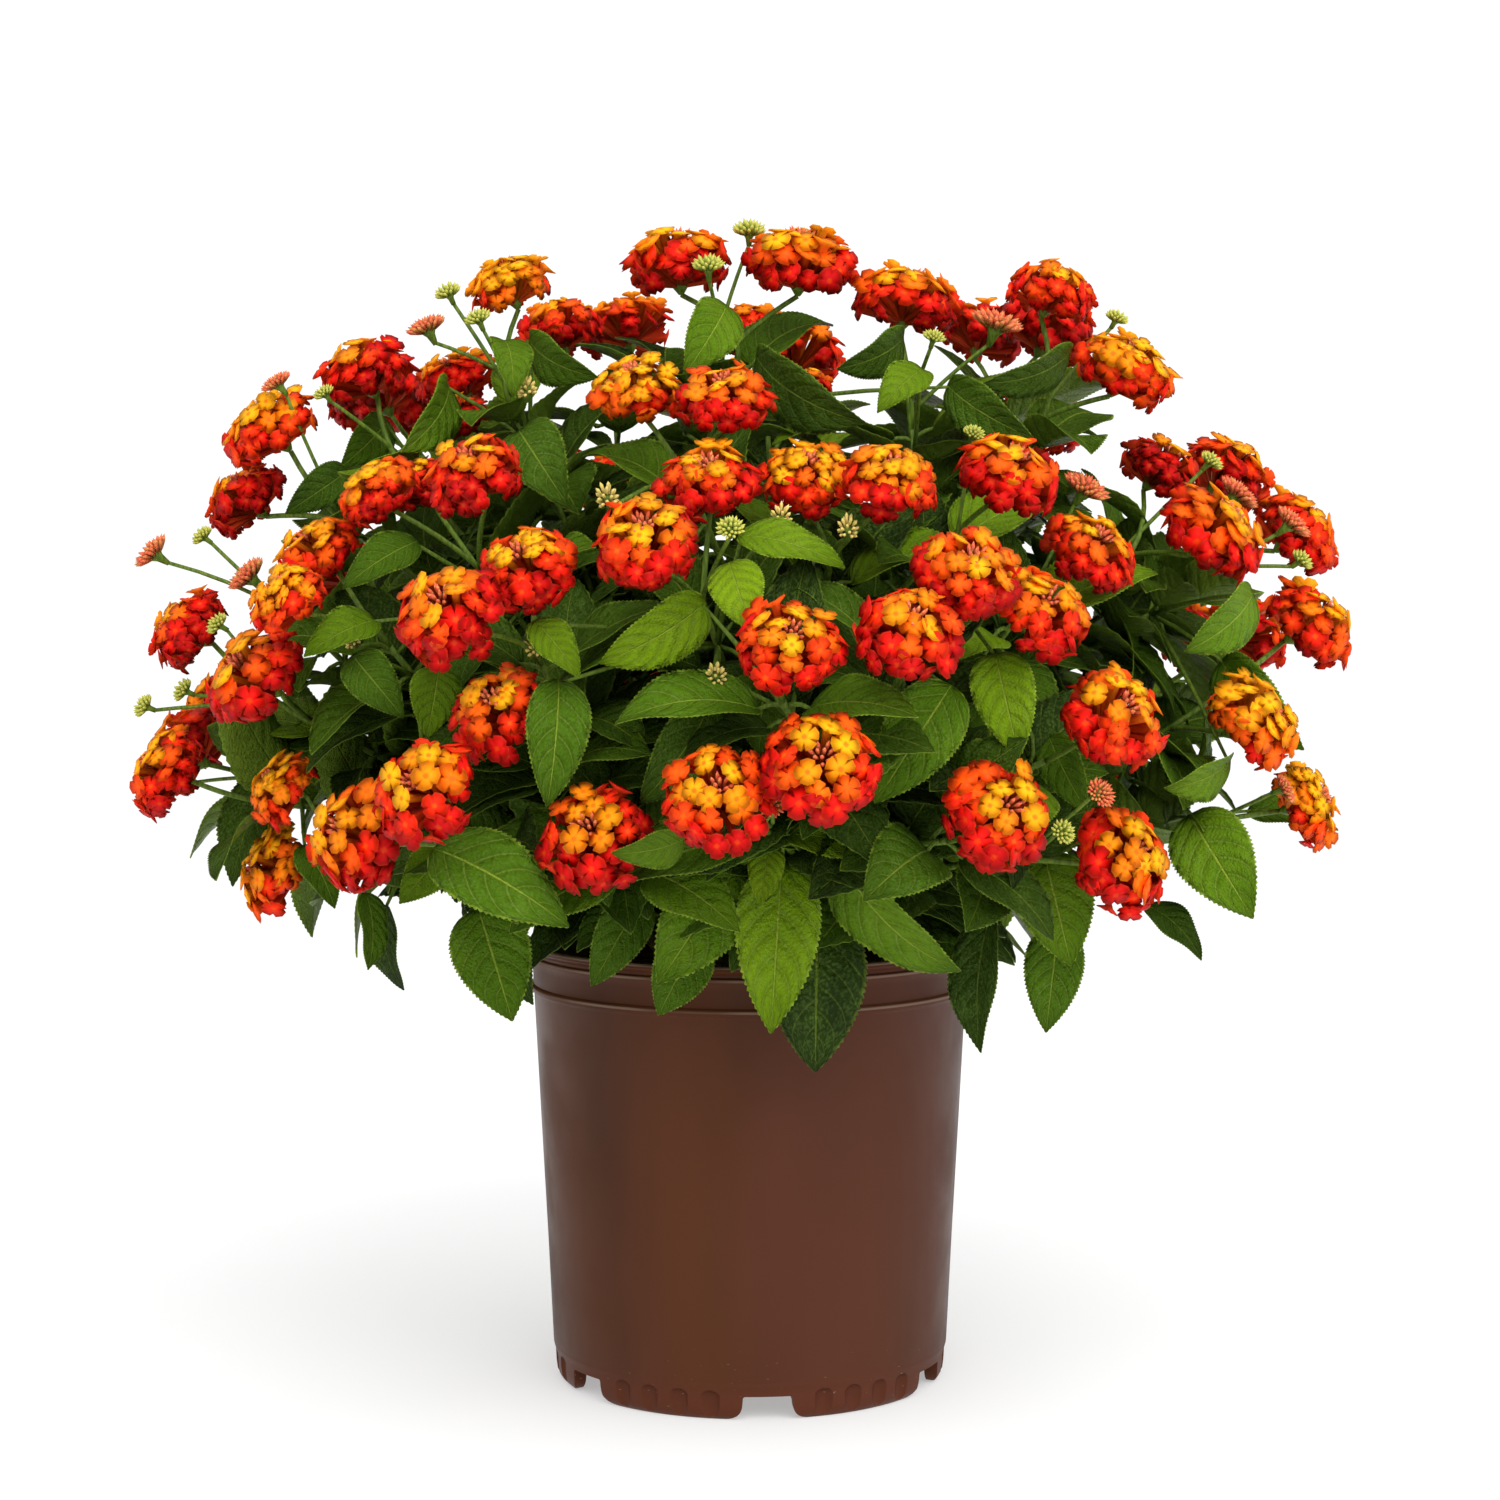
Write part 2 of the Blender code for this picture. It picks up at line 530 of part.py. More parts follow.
class Neighbours:
    """What already stands where, as one set of faces for each node."""

    def __init__(self):
        self.shapes = {}
        self.trees = {}

    def add(self, node, shape):
        points, faces = self.shapes.setdefault(node, ([], []))
        first = len(points)
        points += shape[0]
        faces += [tuple(first + i for i in face) for face in shape[1]]
        self.trees[node] = BVHTree.FromPolygons(points, faces)

    def met_by(self, shape, own):
        """Whether a shape crosses any node but its own ones."""
        tree = BVHTree.FromPolygons(*shape)
        return any(node not in own and tree.overlap(other) for node, other in self.trees.items())

    def free(self, leaf, past, own):
        """Whether a leaf keeps clear of other nodes, and of its own node past its root."""
        start = leaf["base"] if leaf["long stalk"] else past
        stalk = tube_proxy([past, leaf["base"]], PETIOLE_RADIUS + 0.4 * MM)
        if self.met_by(leaf_proxy(leaf, start, CLEARANCE, 1.2 * MM), [own]) or self.met_by(stalk, [own]):
            return False
        blade = leaf_proxy(leaf, start, LEAF_THICKNESS / 2, 0.4 * MM)
        return not any(BVHTree.FromPolygons(*shape).overlap(self.trees[own]) for shape in (stalk, blade))

    def grow(self, leaf, stem, spray, t, own):
        """Puts a leaf on a twig at t if a side of the twig is free there and the leaf clears the rest."""
        t = joint_near(spray, t)
        root = twig_frame(spray, t)[0]
        stalk = leaf["base"] - root
        leaf["long stalk"] = stalk.length > LONG_PETIOLE
        stalk.normalize()
        past = root + stalk * 4 * MM
        side = free_side(spray, t, stalk)
        if side is None or stalk.dot(leaf["axis"]) < SHARPEST_BEND or not self.free(leaf, past, own):
            return False
        if meets_itself(leaf, spray, t, side):
            return False
        spray["joints"].setdefault(t, {})[side] = leaf
        stem["leaves"].append(leaf)
        start = leaf["base"] if leaf["long stalk"] else past
        self.add(own, leaf_proxy(leaf, start, LEAF_THICKNESS / 2, 0))
        self.add(own, tube_proxy([past, leaf["base"]], PETIOLE_RADIUS))
        return True


def grow_seen_leaves(stems, near):
    joints = [(n, spray, t) for n, stem in enumerate(stems) for spray in stem["sprays"] for t in SEEN_JOINTS]
    for key, row in enumerate(SEEN_LEAVES):
        leaves = [seen_leaf(row, nearer, key) for nearer in SEEN_TRIES]
        back = leaves[0]["base"] - leaves[0]["axis"] * 8 * MM
        joints.sort(key=lambda joint: (twig_frame(joint[1], joint[2])[0] - back).length)
        tries = ((leaf, joint) for leaf in leaves for joint in joints[:24])
        any(near.grow(leaf, stems[n], spray, t, f"stem {n}") for leaf, (n, spray, t) in tries)


def pair_places(spray):
    """Where a twig's pairs of leaves can grow: (t, turn of the pair, size, droop)."""
    length = twig_length(spray)
    hang = 0.52 - 0.5 * max(0, spray["out"].z)
    places = [(1 - 4 * MM / length, 0, 0.88, hang)]
    if not spray["heads"][0]["seen"]:
        for k, (turn, size, droop) in enumerate(LOWER_PAIRS, 1):
            t = 1 - (4 * MM + k * PAIR_STEP) / length
            if t > LOWEST_JOINT:
                places.append((t, turn, size, hang + droop))
    return places


def grow_pairs(stems, near):
    for n, stem in enumerate(stems):
        for m, spray in enumerate(stem["sprays"]):
            for t, turn, size, droop in pair_places(spray):
                point, ahead, level, _ = twig_frame(spray, t)
                for sign in (1, -1):
                    key = 100 * n + 10 * m + sign + turn
                    for spin, more, smaller in LEAF_TRIES:
                        angle = math.radians(turn + spin + 12 * draw(key))
                        side = Quaternion(ahead, angle) @ level * sign
                        leaf = twig_leaf(point, ahead, side, size * smaller, droop + more, key)
                        if near.grow(leaf, stem, spray, t, f"stem {n}"):
                            break


def clear_twig(spray, near, own):
    """Bows a twig until it passes the other sprays and stems, and gives its shape for the crossing test."""
    bow = spray["bow"]
    ahead = (spray["end"] - spray["fork"]).normalized()
    across = ahead.cross(UP).normalized()
    for reach in BOW_TRIES:
        for k in range(BOW_WAYS):
            spray["bow"] = bow + Quaternion(ahead, math.tau * k / BOW_WAYS) @ across * reach * MM
            twig = tube_proxy([twig_frame(spray, t)[0] for t in (0, 0.25, 0.5, 0.75, 1)], TWIG_RADIUS)
            if not near.met_by(twig, (own, spray["name"])):
                return twig
    return twig


def grow_leaves(stems, sprays):
    near = Neighbours()
    near.add("pot", pot_proxy())
    for spray in sprays:
        for head in spray["heads"]:
            near.add(spray["name"], tube_proxy([head["foot"], head["neck"]], STALK_RADIUS * 0.9))
            near.add(spray["name"], head_proxy(head))
    for n, stem in enumerate(stems):
        near.add(f"stem {n}", tube_proxy(stem["main"], STEM_RADIUS * 0.8))
    for n, stem in enumerate(stems):
        for spray in stem["sprays"]:
            near.add(f"stem {n}", clear_twig(spray, near, f"stem {n}"))
    place_stalks(sprays)
    grow_seen_leaves(stems, near)
    grow_pairs(stems, near)


def new_material(name, colour, roughness):
    material = bpy.data.materials.new(name)
    material.use_nodes = True
    shader = material.node_tree.nodes["Principled BSDF"]
    shader.inputs["Base Color"].default_value = (*colour, 1)
    shader.inputs["Roughness"].default_value = roughness
    material.diffuse_color = (*colour, 1)
    return material


def new_object(name, bm, material):
    mesh = bpy.data.meshes.new(name)
    bmesh.ops.recalc_face_normals(bm, faces=bm.faces)
    if bm.calc_volume(signed=True) < 0:
        bmesh.ops.reverse_faces(bm, faces=bm.faces)
    bm.to_mesh(mesh)
    bm.free()
    mesh.materials.append(material)
    obj = bpy.data.objects.new(name, mesh)
    bpy.context.scene.collection.objects.link(obj)
    return obj


def boolean(obj, others, operation, solver="EXACT"):
    """Joins or cuts obj with other objects, applies it and removes them."""
    if not others:
        return
    holder = bpy.data.collections.new("others")
    bpy.context.scene.collection.children.link(holder)
    for other in others:
        bpy.context.scene.collection.objects.unlink(other)
        holder.objects.link(other)
    modifier = obj.modifiers.new("boolean", "BOOLEAN")
    modifier.operation = operation
    modifier.operand_type = "COLLECTION"
    modifier.collection = holder
    modifier.solver = solver
    bpy.context.view_layer.update()
    graph = bpy.context.evaluated_depsgraph_get()
    mesh = bpy.data.meshes.new_from_object(obj.evaluated_get(graph))
    obj.modifiers.remove(modifier)
    obj.data = mesh
    for other in others:
        bpy.data.objects.remove(other)
    bpy.data.collections.remove(holder)


def ring(bm, place, ahead, radius, sides):
    """A circle of edges across a direction."""
    matrix = Matrix.Translation(place) @ ahead.to_track_quat("Z", "Y").to_matrix().to_4x4()
    return bmesh.ops.create_circle(bm, segments=sides, radius=radius, matrix=matrix)["verts"]


def tube(path, radii, sides):
    """A closed tube along a path, with a radius for each point."""
    bm = bmesh.new()
    rings = []
    turn = before = None
    for i, (place, radius) in enumerate(zip(path, radii)):
        ahead = (path[min(i + 1, len(path) - 1)] - path[max(i - 1, 0)]).normalized()
        turn = ahead.to_track_quat("Z", "Y") if turn is None else before.rotation_difference(ahead) @ turn
        before = ahead
        matrix = Matrix.Translation(place) @ turn.to_matrix().to_4x4()
        rings.append(bmesh.ops.create_circle(bm, segments=sides, radius=radius, matrix=matrix)["verts"])
    for low, high in zip(rings, rings[1:]):
        for k in range(sides):
            m = (k + 1) % sides
            bm.faces.new((low[k], low[m], high[m], high[k]))
    bm.faces.new(rings[0][::-1])
    bm.faces.new(rings[-1])
    return bm


def loop_edges(verts):
    return {e for v in verts for e in v.link_edges if e.other_vert(v) in verts}


def add_stalk(bm, rim, head):
    """A three-sided stalk from the open underside of a head or a bud to its foot."""
    neck = ring(bm, head["neck"], head["faces"], head["radius"] * NECK[head["kind"]][1], 3)
    bmesh.ops.bridge_loops(bm, edges=list(rim | loop_edges(neck)))
    turn = head["faces"].rotation_difference(head["lead"])
    foot = []
    for vert in neck:
        out = (turn @ (vert.co - head["neck"])).normalized()
        foot.append(bm.verts.new(head["foot"] + out * head["foot radius"]))
    for k in range(3):
        m = (k + 1) % 3
        bm.faces.new((neck[k], neck[m], foot[m], foot[k]))
    bm.faces.new(foot)


def flower_head(head):
    """A dome of florets on a stalk: ten raised ones on top, and ten folded ones round the rim."""
    bm = bmesh.new()
    bmesh.ops.create_icosphere(bm, subdivisions=1, radius=1)
    edges = bm.edges[:]
    bmesh.ops.poke(bm, faces=bm.faces[:])
    bmesh.ops.dissolve_edges(bm, edges=edges)
    lower = [f for f in bm.faces if f.calc_center_median().z < -0.3]
    bmesh.ops.delete(bm, geom=lower, context="FACES")
    for vert in bm.verts:
        ridge = len(vert.link_edges) > 3 or vert.co.z < -0.3
        vert.co = vert.co.normalized() * (RIDGE if ridge else FLORET_EDGE)
    upper = [f for f in bm.faces if f.calc_center_median().z > 0.3]
    for vert in bmesh.ops.poke(bm, faces=upper)["verts"]:
        vert.co = vert.co.normalized() * FLORET_TOP
    r = head["radius"]
    turn = head["faces"].to_track_quat("Z", "Y").to_matrix().to_4x4()
    bm.transform(Matrix.Translation(head["at"]) @ turn @ Matrix.Diagonal((r, r, r * HEAD_RISE, 1)))
    rim = {e for e in bm.edges if e.is_boundary}
    add_stalk(bm, rim, head)
    return bm


def bud_head(head):
    """A young head: a cup of buds with a raised middle, on a stalk."""
    bm = bmesh.new()
    r = head["radius"]
    rim = ring(bm, head["at"] + head["faces"] * r * 0.1, head["faces"], r, 6)
    top = bm.verts.new(head["at"] + head["faces"] * r * 0.5)
    for k in range(6):
        bm.faces.new((rim[k], rim[(k + 1) % 6], top))
    add_stalk(bm, loop_edges(rim), head)
    return bm


def nearest_order(quad, corners):
    """A quad's four vertices, going round it from the one and in the sense that match four points best."""
    turns = [(quad * 2)[k : k + 4] for k in range(4)]
    turns += [turn[::-1] for turn in turns]
    return min(turns, key=lambda turn: sum((vert.co - corner).length for vert, corner in zip(turn, corners)))


def add_leaf(bm, leaf, quad):
    """A toothed ovate blade, thickest at its middle, that grows from four vertices of its twig."""
    side = leaf["axis"].cross(leaf["normal"])
    middle = sum((v.co for v in quad), Vector()) / 4
    stalk = (leaf["base"] - middle).normalized()
    across = (side - stalk * side.dot(stalk)).normalized()
    above = across.cross(stalk)
    ways = ((-1, 1), (1, 1), (1, -1), (-1, -1))
    corners = [middle + (across * x + above * y) * TWIG_RADIUS for x, y in ways]
    left, right, under_right, under_left = nearest_order(quad, corners)
    if leaf["long stalk"]:
        root = left, right, under_right, under_left
        ahead = (stalk + leaf["axis"]).normalized()
        across = side + (right.co - left.co).normalized()
        across = (across - ahead * across.dot(ahead)).normalized() * PETIOLE_RADIUS
        above = across.cross(ahead)
        left, right, under_left = (
            bm.verts.new(leaf["base"] + across * x + above * y) for x, y in ((-1, 0.5), (1, 0.5), (0, -1))
        )
        under_right = under_left
        bm.faces.new((root[0], root[1], right, left))
        bm.faces.new((root[1], root[2], under_left, right))
        bm.faces.new((root[2], root[3], under_left))
        bm.faces.new((root[3], root[0], left, under_left))
    upper = bm.verts.new(leaf_point(leaf, LEAF_MIDDLE, 0, LEAF_THICKNESS * 0.35))
    lower = bm.verts.new(leaf_point(leaf, LEAF_MIDDLE, 0, -LEAF_THICKNESS * 0.65))
    tip = bm.verts.new(leaf_point(leaf, 1, 0))
    bm.faces.new((left, right, upper))
    if under_left is not under_right:
        bm.faces.new((under_left, under_right, lower))
    for sign, corner, under in ((-1, left, under_left), (1, right, under_right)):
        edge = [bm.verts.new(leaf_point(leaf, u, sign * half_width(leaf, u) * w)) for u, w in LEAF_EDGE]
        bm.faces.new((corner, edge[0], upper))
        bm.faces.new((corner, edge[0], under))
        bm.faces.new((under, edge[0], lower))
        for a, b in zip(edge, [*edge[1:], tip]):
            bm.faces.new((a, b, upper))
            bm.faces.new((a, b, lower))


def meets_itself(leaf, spray, t, side):
    """Whether the faces of a leaf would cross one another if it grew from a side of a twig at t."""
    bm = bmesh.new()
    half = JOINT / 2 / twig_length(spray)
    low, high = twig_corners(spray, t - half), twig_corners(spray, t + half)
    m = (side + 1) % 4
    add_leaf(bm, leaf, [bm.verts.new(corner) for corner in (low[side], low[m], high[m], high[side])])
    bmesh.ops.triangulate(bm, faces=bm.faces[:])
    bm.faces.ensure_lookup_table()
    tree = BVHTree.FromBMesh(bm)
    corners = [set(f.verts) for f in bm.faces]
    met = any(not corners[a] & corners[b] for a, b in tree.overlap(tree))
    bm.free()
    return met


def leafy_twig(spray):
    """A square twig with its leaves, each grown from one side of the twig."""
    bm = bmesh.new()
    half = JOINT / 2 / twig_length(spray)
    stations = {0: None, 1: None}
    for t in spray["joints"]:
        stations[t - half] = t
        stations[t + half] = None
    if all(abs(t - 0.5) > 0.12 for t in stations):
        stations[0.5] = None
    before = None
    for t in sorted(stations):
        corners = [bm.verts.new(corner) for corner in twig_corners(spray, t)]
        if before is None:
            bm.faces.new(corners)
        else:
            leaves = spray["joints"].get(grows, {}) if grows is not None else {}
            for k in range(4):
                m = (k + 1) % 4
                quad = [before[k], before[m], corners[m], corners[k]]
                if k in leaves:
                    add_leaf(bm, leaves[k], quad)
                else:
                    bm.faces.new(quad)
        before, grows = corners, stations[t]
    bm.faces.new(before)
    return bm


def make_spray(spray, material):
    """A spray: the first head's stalk stands on the twig's end, and the others' stalks grow from it."""
    objects = []
    for head in spray["heads"]:
        shape = flower_head(head) if head["kind"] == "open" else bud_head(head)
        objects.append(new_object(spray["name"], shape, material))
    boolean(objects[0], objects[1:], "UNION", "MANIFOLD")


def make_stem(name, stem, material):
    """A leafy stem: the stem from its foot to its fork, a twig to each spray, and the leaves."""
    radii = [STEM_RADIUS, STEM_RADIUS, STEM_RADIUS * 0.95, STEM_RADIUS * 0.9, FORK_RADIUS]
    first = new_object(name, tube(stem["main"], radii, 4), material)
    twigs = [new_object("twig", leafy_twig(spray), material) for spray in stem["sprays"]]
    boolean(first, twigs, "UNION", "MANIFOLD")


def turned(name, profile, sides, material):
    """A turned shape from (radius, height) points that start and end on the axis."""
    bm = bmesh.new()
    verts = [bm.verts.new((r, 0, z)) for r, z in profile]
    edges = [bm.edges.new(pair) for pair in zip(verts, verts[1:])]
    bmesh.ops.spin(
        bm, geom=verts + edges, axis=UP, cent=(0, 0, 0), steps=sides, angle=math.tau, use_merge=True
    )
    bmesh.ops.remove_doubles(bm, verts=bm.verts, dist=0.01 * MM)
    return new_object(name, bm, material)


def inner_radius(z):
    """The inside of the pot's wall at a height."""
    share = (z - FLOOR_UNDERSIDE) / (POT_HEIGHT - FLOOR_UNDERSIDE)
    return WALL_FOOT_RADIUS - WALL + share * (WALL_TOP_RADIUS - WALL_FOOT_RADIUS)


def notch_cutter(angle):
    """A slot across the foot, wider at the floor, that also opens the edge of the pot's floor."""
    bm = bmesh.new()
    bmesh.ops.create_cube(bm, size=1)
    for vert in bm.verts:
        high = vert.co.z > 0
        vert.co.x *= NOTCH_TOP_WIDTH if high else NOTCH_FLOOR_WIDTH
        vert.co.y = -(WALL_FOOT_RADIUS + 5 * MM) if vert.co.y < 0 else -(WALL_FOOT_RADIUS - NOTCH_REACH)
        vert.co.z = NOTCH_HEIGHT if high else -1 * MM
    bm.transform(Matrix.Rotation(math.radians(angle), 4, "Z"))
    return bm


def flute_cutter(angle):
    """An upright groove in the outside of the foot."""
    bm = bmesh.new()
    bmesh.ops.create_cone(
        bm, cap_ends=True, segments=4, radius1=FLUTE_RADIUS, radius2=FLUTE_RADIUS * 0.85, depth=FOOT_HEIGHT
    )
    out = WALL_FOOT_RADIUS + FLUTE_RADIUS - FLUTE_DEPTH
    bm.transform(Matrix.Translation((0, -out, FOOT_HEIGHT / 2 - 1.5 * MM)))
    bm.transform(Matrix.Rotation(math.radians(angle), 4, "Z"))
    return bm


def make_pot(material):
    z = POT_HEIGHT
    outside = (
        (CONTACT_RADIUS, 0),
        (WALL_FOOT_RADIUS - 0.6 * MM, 3.5 * MM),
        (WALL_FOOT_RADIUS, FOOT_HEIGHT),
        (WALL_TOP_RADIUS, z - 19 * MM),
        (WALL_TOP_RADIUS + 1.4 * MM, z - 17 * MM),
        (WALL_TOP_RADIUS + 0.5 * MM, z - 14 * MM),
        (WALL_TOP_RADIUS + 1.7 * MM, z - 5.5 * MM),
        (WALL_TOP_RADIUS + 0.9 * MM, z - 3.5 * MM),
        (LIP_RADIUS, z - 1.4 * MM),
        (LIP_RADIUS, z),
    )
    inside = (
        (LIP_RADIUS - 2 * WALL, z),
        (inner_radius(FLOOR_UNDERSIDE + WALL), FLOOR_UNDERSIDE + WALL),
        (0, FLOOR_UNDERSIDE + WALL),
    )
    underside = (
        (0, FLOOR_UNDERSIDE),
        (CONTACT_RADIUS - 1.5 * WALL, FLOOR_UNDERSIDE),
        (CONTACT_RADIUS - 1.5 * WALL, 0),
    )
    pot = turned("pot", (*underside, *outside, *inside), POT_SIDES, material)
    cutters = []
    for n in range(NOTCHES):
        notch = FIRST_NOTCH + n * 360 / NOTCHES
        cutters.append(new_object("notch", notch_cutter(notch), material))
        for flute in FLUTES:
            angle = notch + 180 / NOTCHES + flute
            cutters.append(new_object("flute", flute_cutter(angle), material))
    boolean(pot, cutters, "DIFFERENCE")


def make_soil(stems, material):
    """The potting mix, lumpy on top, with a hole for each stem."""
    low = FLOOR_UNDERSIDE + WALL + GAP
    foot, rim = inner_radius(low) - 3 * GAP, inner_radius(SOIL_TOP) - 3 * GAP
    profile = ((0, low), (foot, low), (rim, SOIL_TOP - 1 * MM), (rim * 0.6, SOIL_TOP), (0, SOIL_TOP + 2 * MM))
    soil = turned("soil", profile, SOIL_SIDES, material)
    for vert in soil.data.vertices:
        if vert.co.z > SOIL_TOP - 0.5 * MM and vert.co.xy.length > 1 * MM:
            vert.co.z += SOIL_LUMP * draw(vert.index, 2)
    cutters = []
    for stem in stems:
        foot = stem["main"][0] - UP * GAP
        top = Vector((foot.x, foot.y, SOIL_TOP + 12 * MM))
        radius = STEM_RADIUS + GAP * math.sqrt(2)
        cutters.append(new_object("hole", tube([foot, top], [radius, radius], 4), material))
    boolean(soil, cutters, "DIFFERENCE")


def main():
    for obj in list(bpy.data.objects):
        bpy.data.objects.remove(obj)
    materials = {
        "pot": new_material("brown_plastic", (0.16, 0.075, 0.05), 0.45),
        "soil": new_material("potting_mix", (0.035, 0.024, 0.018), 0.95),
        "leaf": new_material("leaf_green", (0.09, 0.24, 0.03), 0.5),
        "bloom": new_material("petal_orange_red", (0.85, 0.09, 0.01), 0.5),
    }
    sprays = seen_sprays() + back_sprays()
    for n, spray in enumerate(sprays, 1):
        spray["name"] = f"spray_{n:02d}"
    settle(sprays)
    place_twig_ends(sprays)
    stems = grow_stems(sprays)
    place_stalks(sprays)
    grow_leaves(stems, sprays)
    make_pot(materials["pot"])
    make_soil(stems, materials["soil"])
    for n, stem in enumerate(stems, 1):
        make_stem(f"leafy_stem_{n:02d}", stem, materials["leaf"])
    for spray in sprays:
        make_spray(spray, materials["bloom"])
    return stems, sprays


main()
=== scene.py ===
import json
import math

import bmesh
import bpy
from mathutils import Matrix, Quaternion, Vector, noise
from mathutils.kdtree import KDTree

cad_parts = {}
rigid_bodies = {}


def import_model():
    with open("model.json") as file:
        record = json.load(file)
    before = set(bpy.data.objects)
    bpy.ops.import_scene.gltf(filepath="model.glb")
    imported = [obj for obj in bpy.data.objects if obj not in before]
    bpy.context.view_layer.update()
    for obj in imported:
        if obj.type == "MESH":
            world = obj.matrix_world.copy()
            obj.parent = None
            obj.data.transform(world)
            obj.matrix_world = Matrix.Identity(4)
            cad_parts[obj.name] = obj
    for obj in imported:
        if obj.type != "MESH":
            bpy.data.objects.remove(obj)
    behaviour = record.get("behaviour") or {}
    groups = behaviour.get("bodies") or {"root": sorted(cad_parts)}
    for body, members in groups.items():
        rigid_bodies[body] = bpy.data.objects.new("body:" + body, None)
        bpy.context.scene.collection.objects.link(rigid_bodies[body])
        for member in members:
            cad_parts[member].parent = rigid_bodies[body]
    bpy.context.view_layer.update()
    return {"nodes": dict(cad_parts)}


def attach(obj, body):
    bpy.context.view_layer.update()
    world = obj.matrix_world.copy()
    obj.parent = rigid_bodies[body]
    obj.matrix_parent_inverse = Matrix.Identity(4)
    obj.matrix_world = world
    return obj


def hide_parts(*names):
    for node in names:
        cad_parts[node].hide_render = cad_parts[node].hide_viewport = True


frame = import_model()
print("frame loaded")

mm = 0.001
up = Vector((0, 0, 1))

# where the plant grows: the same rule and values as its solids

view = {
    "eye": Vector((0, -1.2, 0.31)),
    "pitch": math.radians(3.43),  # downwards
    "focalPixels": 3170,
    "middle": (751, 750),
    "pictureWidth": 1500,
}
canopy = {
    "waist": 0.262,  # the height where it is widest
    "radius": Vector((0.215, 0.205, 0.165)),  # upwards it is half an ellipsoid
    "below": 0.105,  # and a flatter half below the waist
    "core": Vector((0, 0, 0.165)),  # the heads face away from it
}
spraySettings = {
    "gap": 0.3 * mm,  # between a twig's end and the first stalk
    "stand": 36 * mm,  # from a twig's end out to its nearest head
    "neck": {"open": 0.62, "bud": 0.8, "rosy": 0.8},  # below the head's middle, in radii
    "firstBranch": 5 * mm,
    "branchStep": 3 * mm,
    "backSprays": 12,  # on the side that the picture doesn't show
    "backHeights": (-0.22, 0.8),  # as shares of the canopy's height
    "backArc": 196,  # degrees
    "backHead": 36 * mm,
    "backApart": 21,  # mm
    "rounds": 60,
    "clear": 0.5 * mm,
    "otherSpray": 1.12,  # more room to a head of another spray
    "seenStep": 0.35,  # of what two heads lack
    "otherStep": 0.5,
}
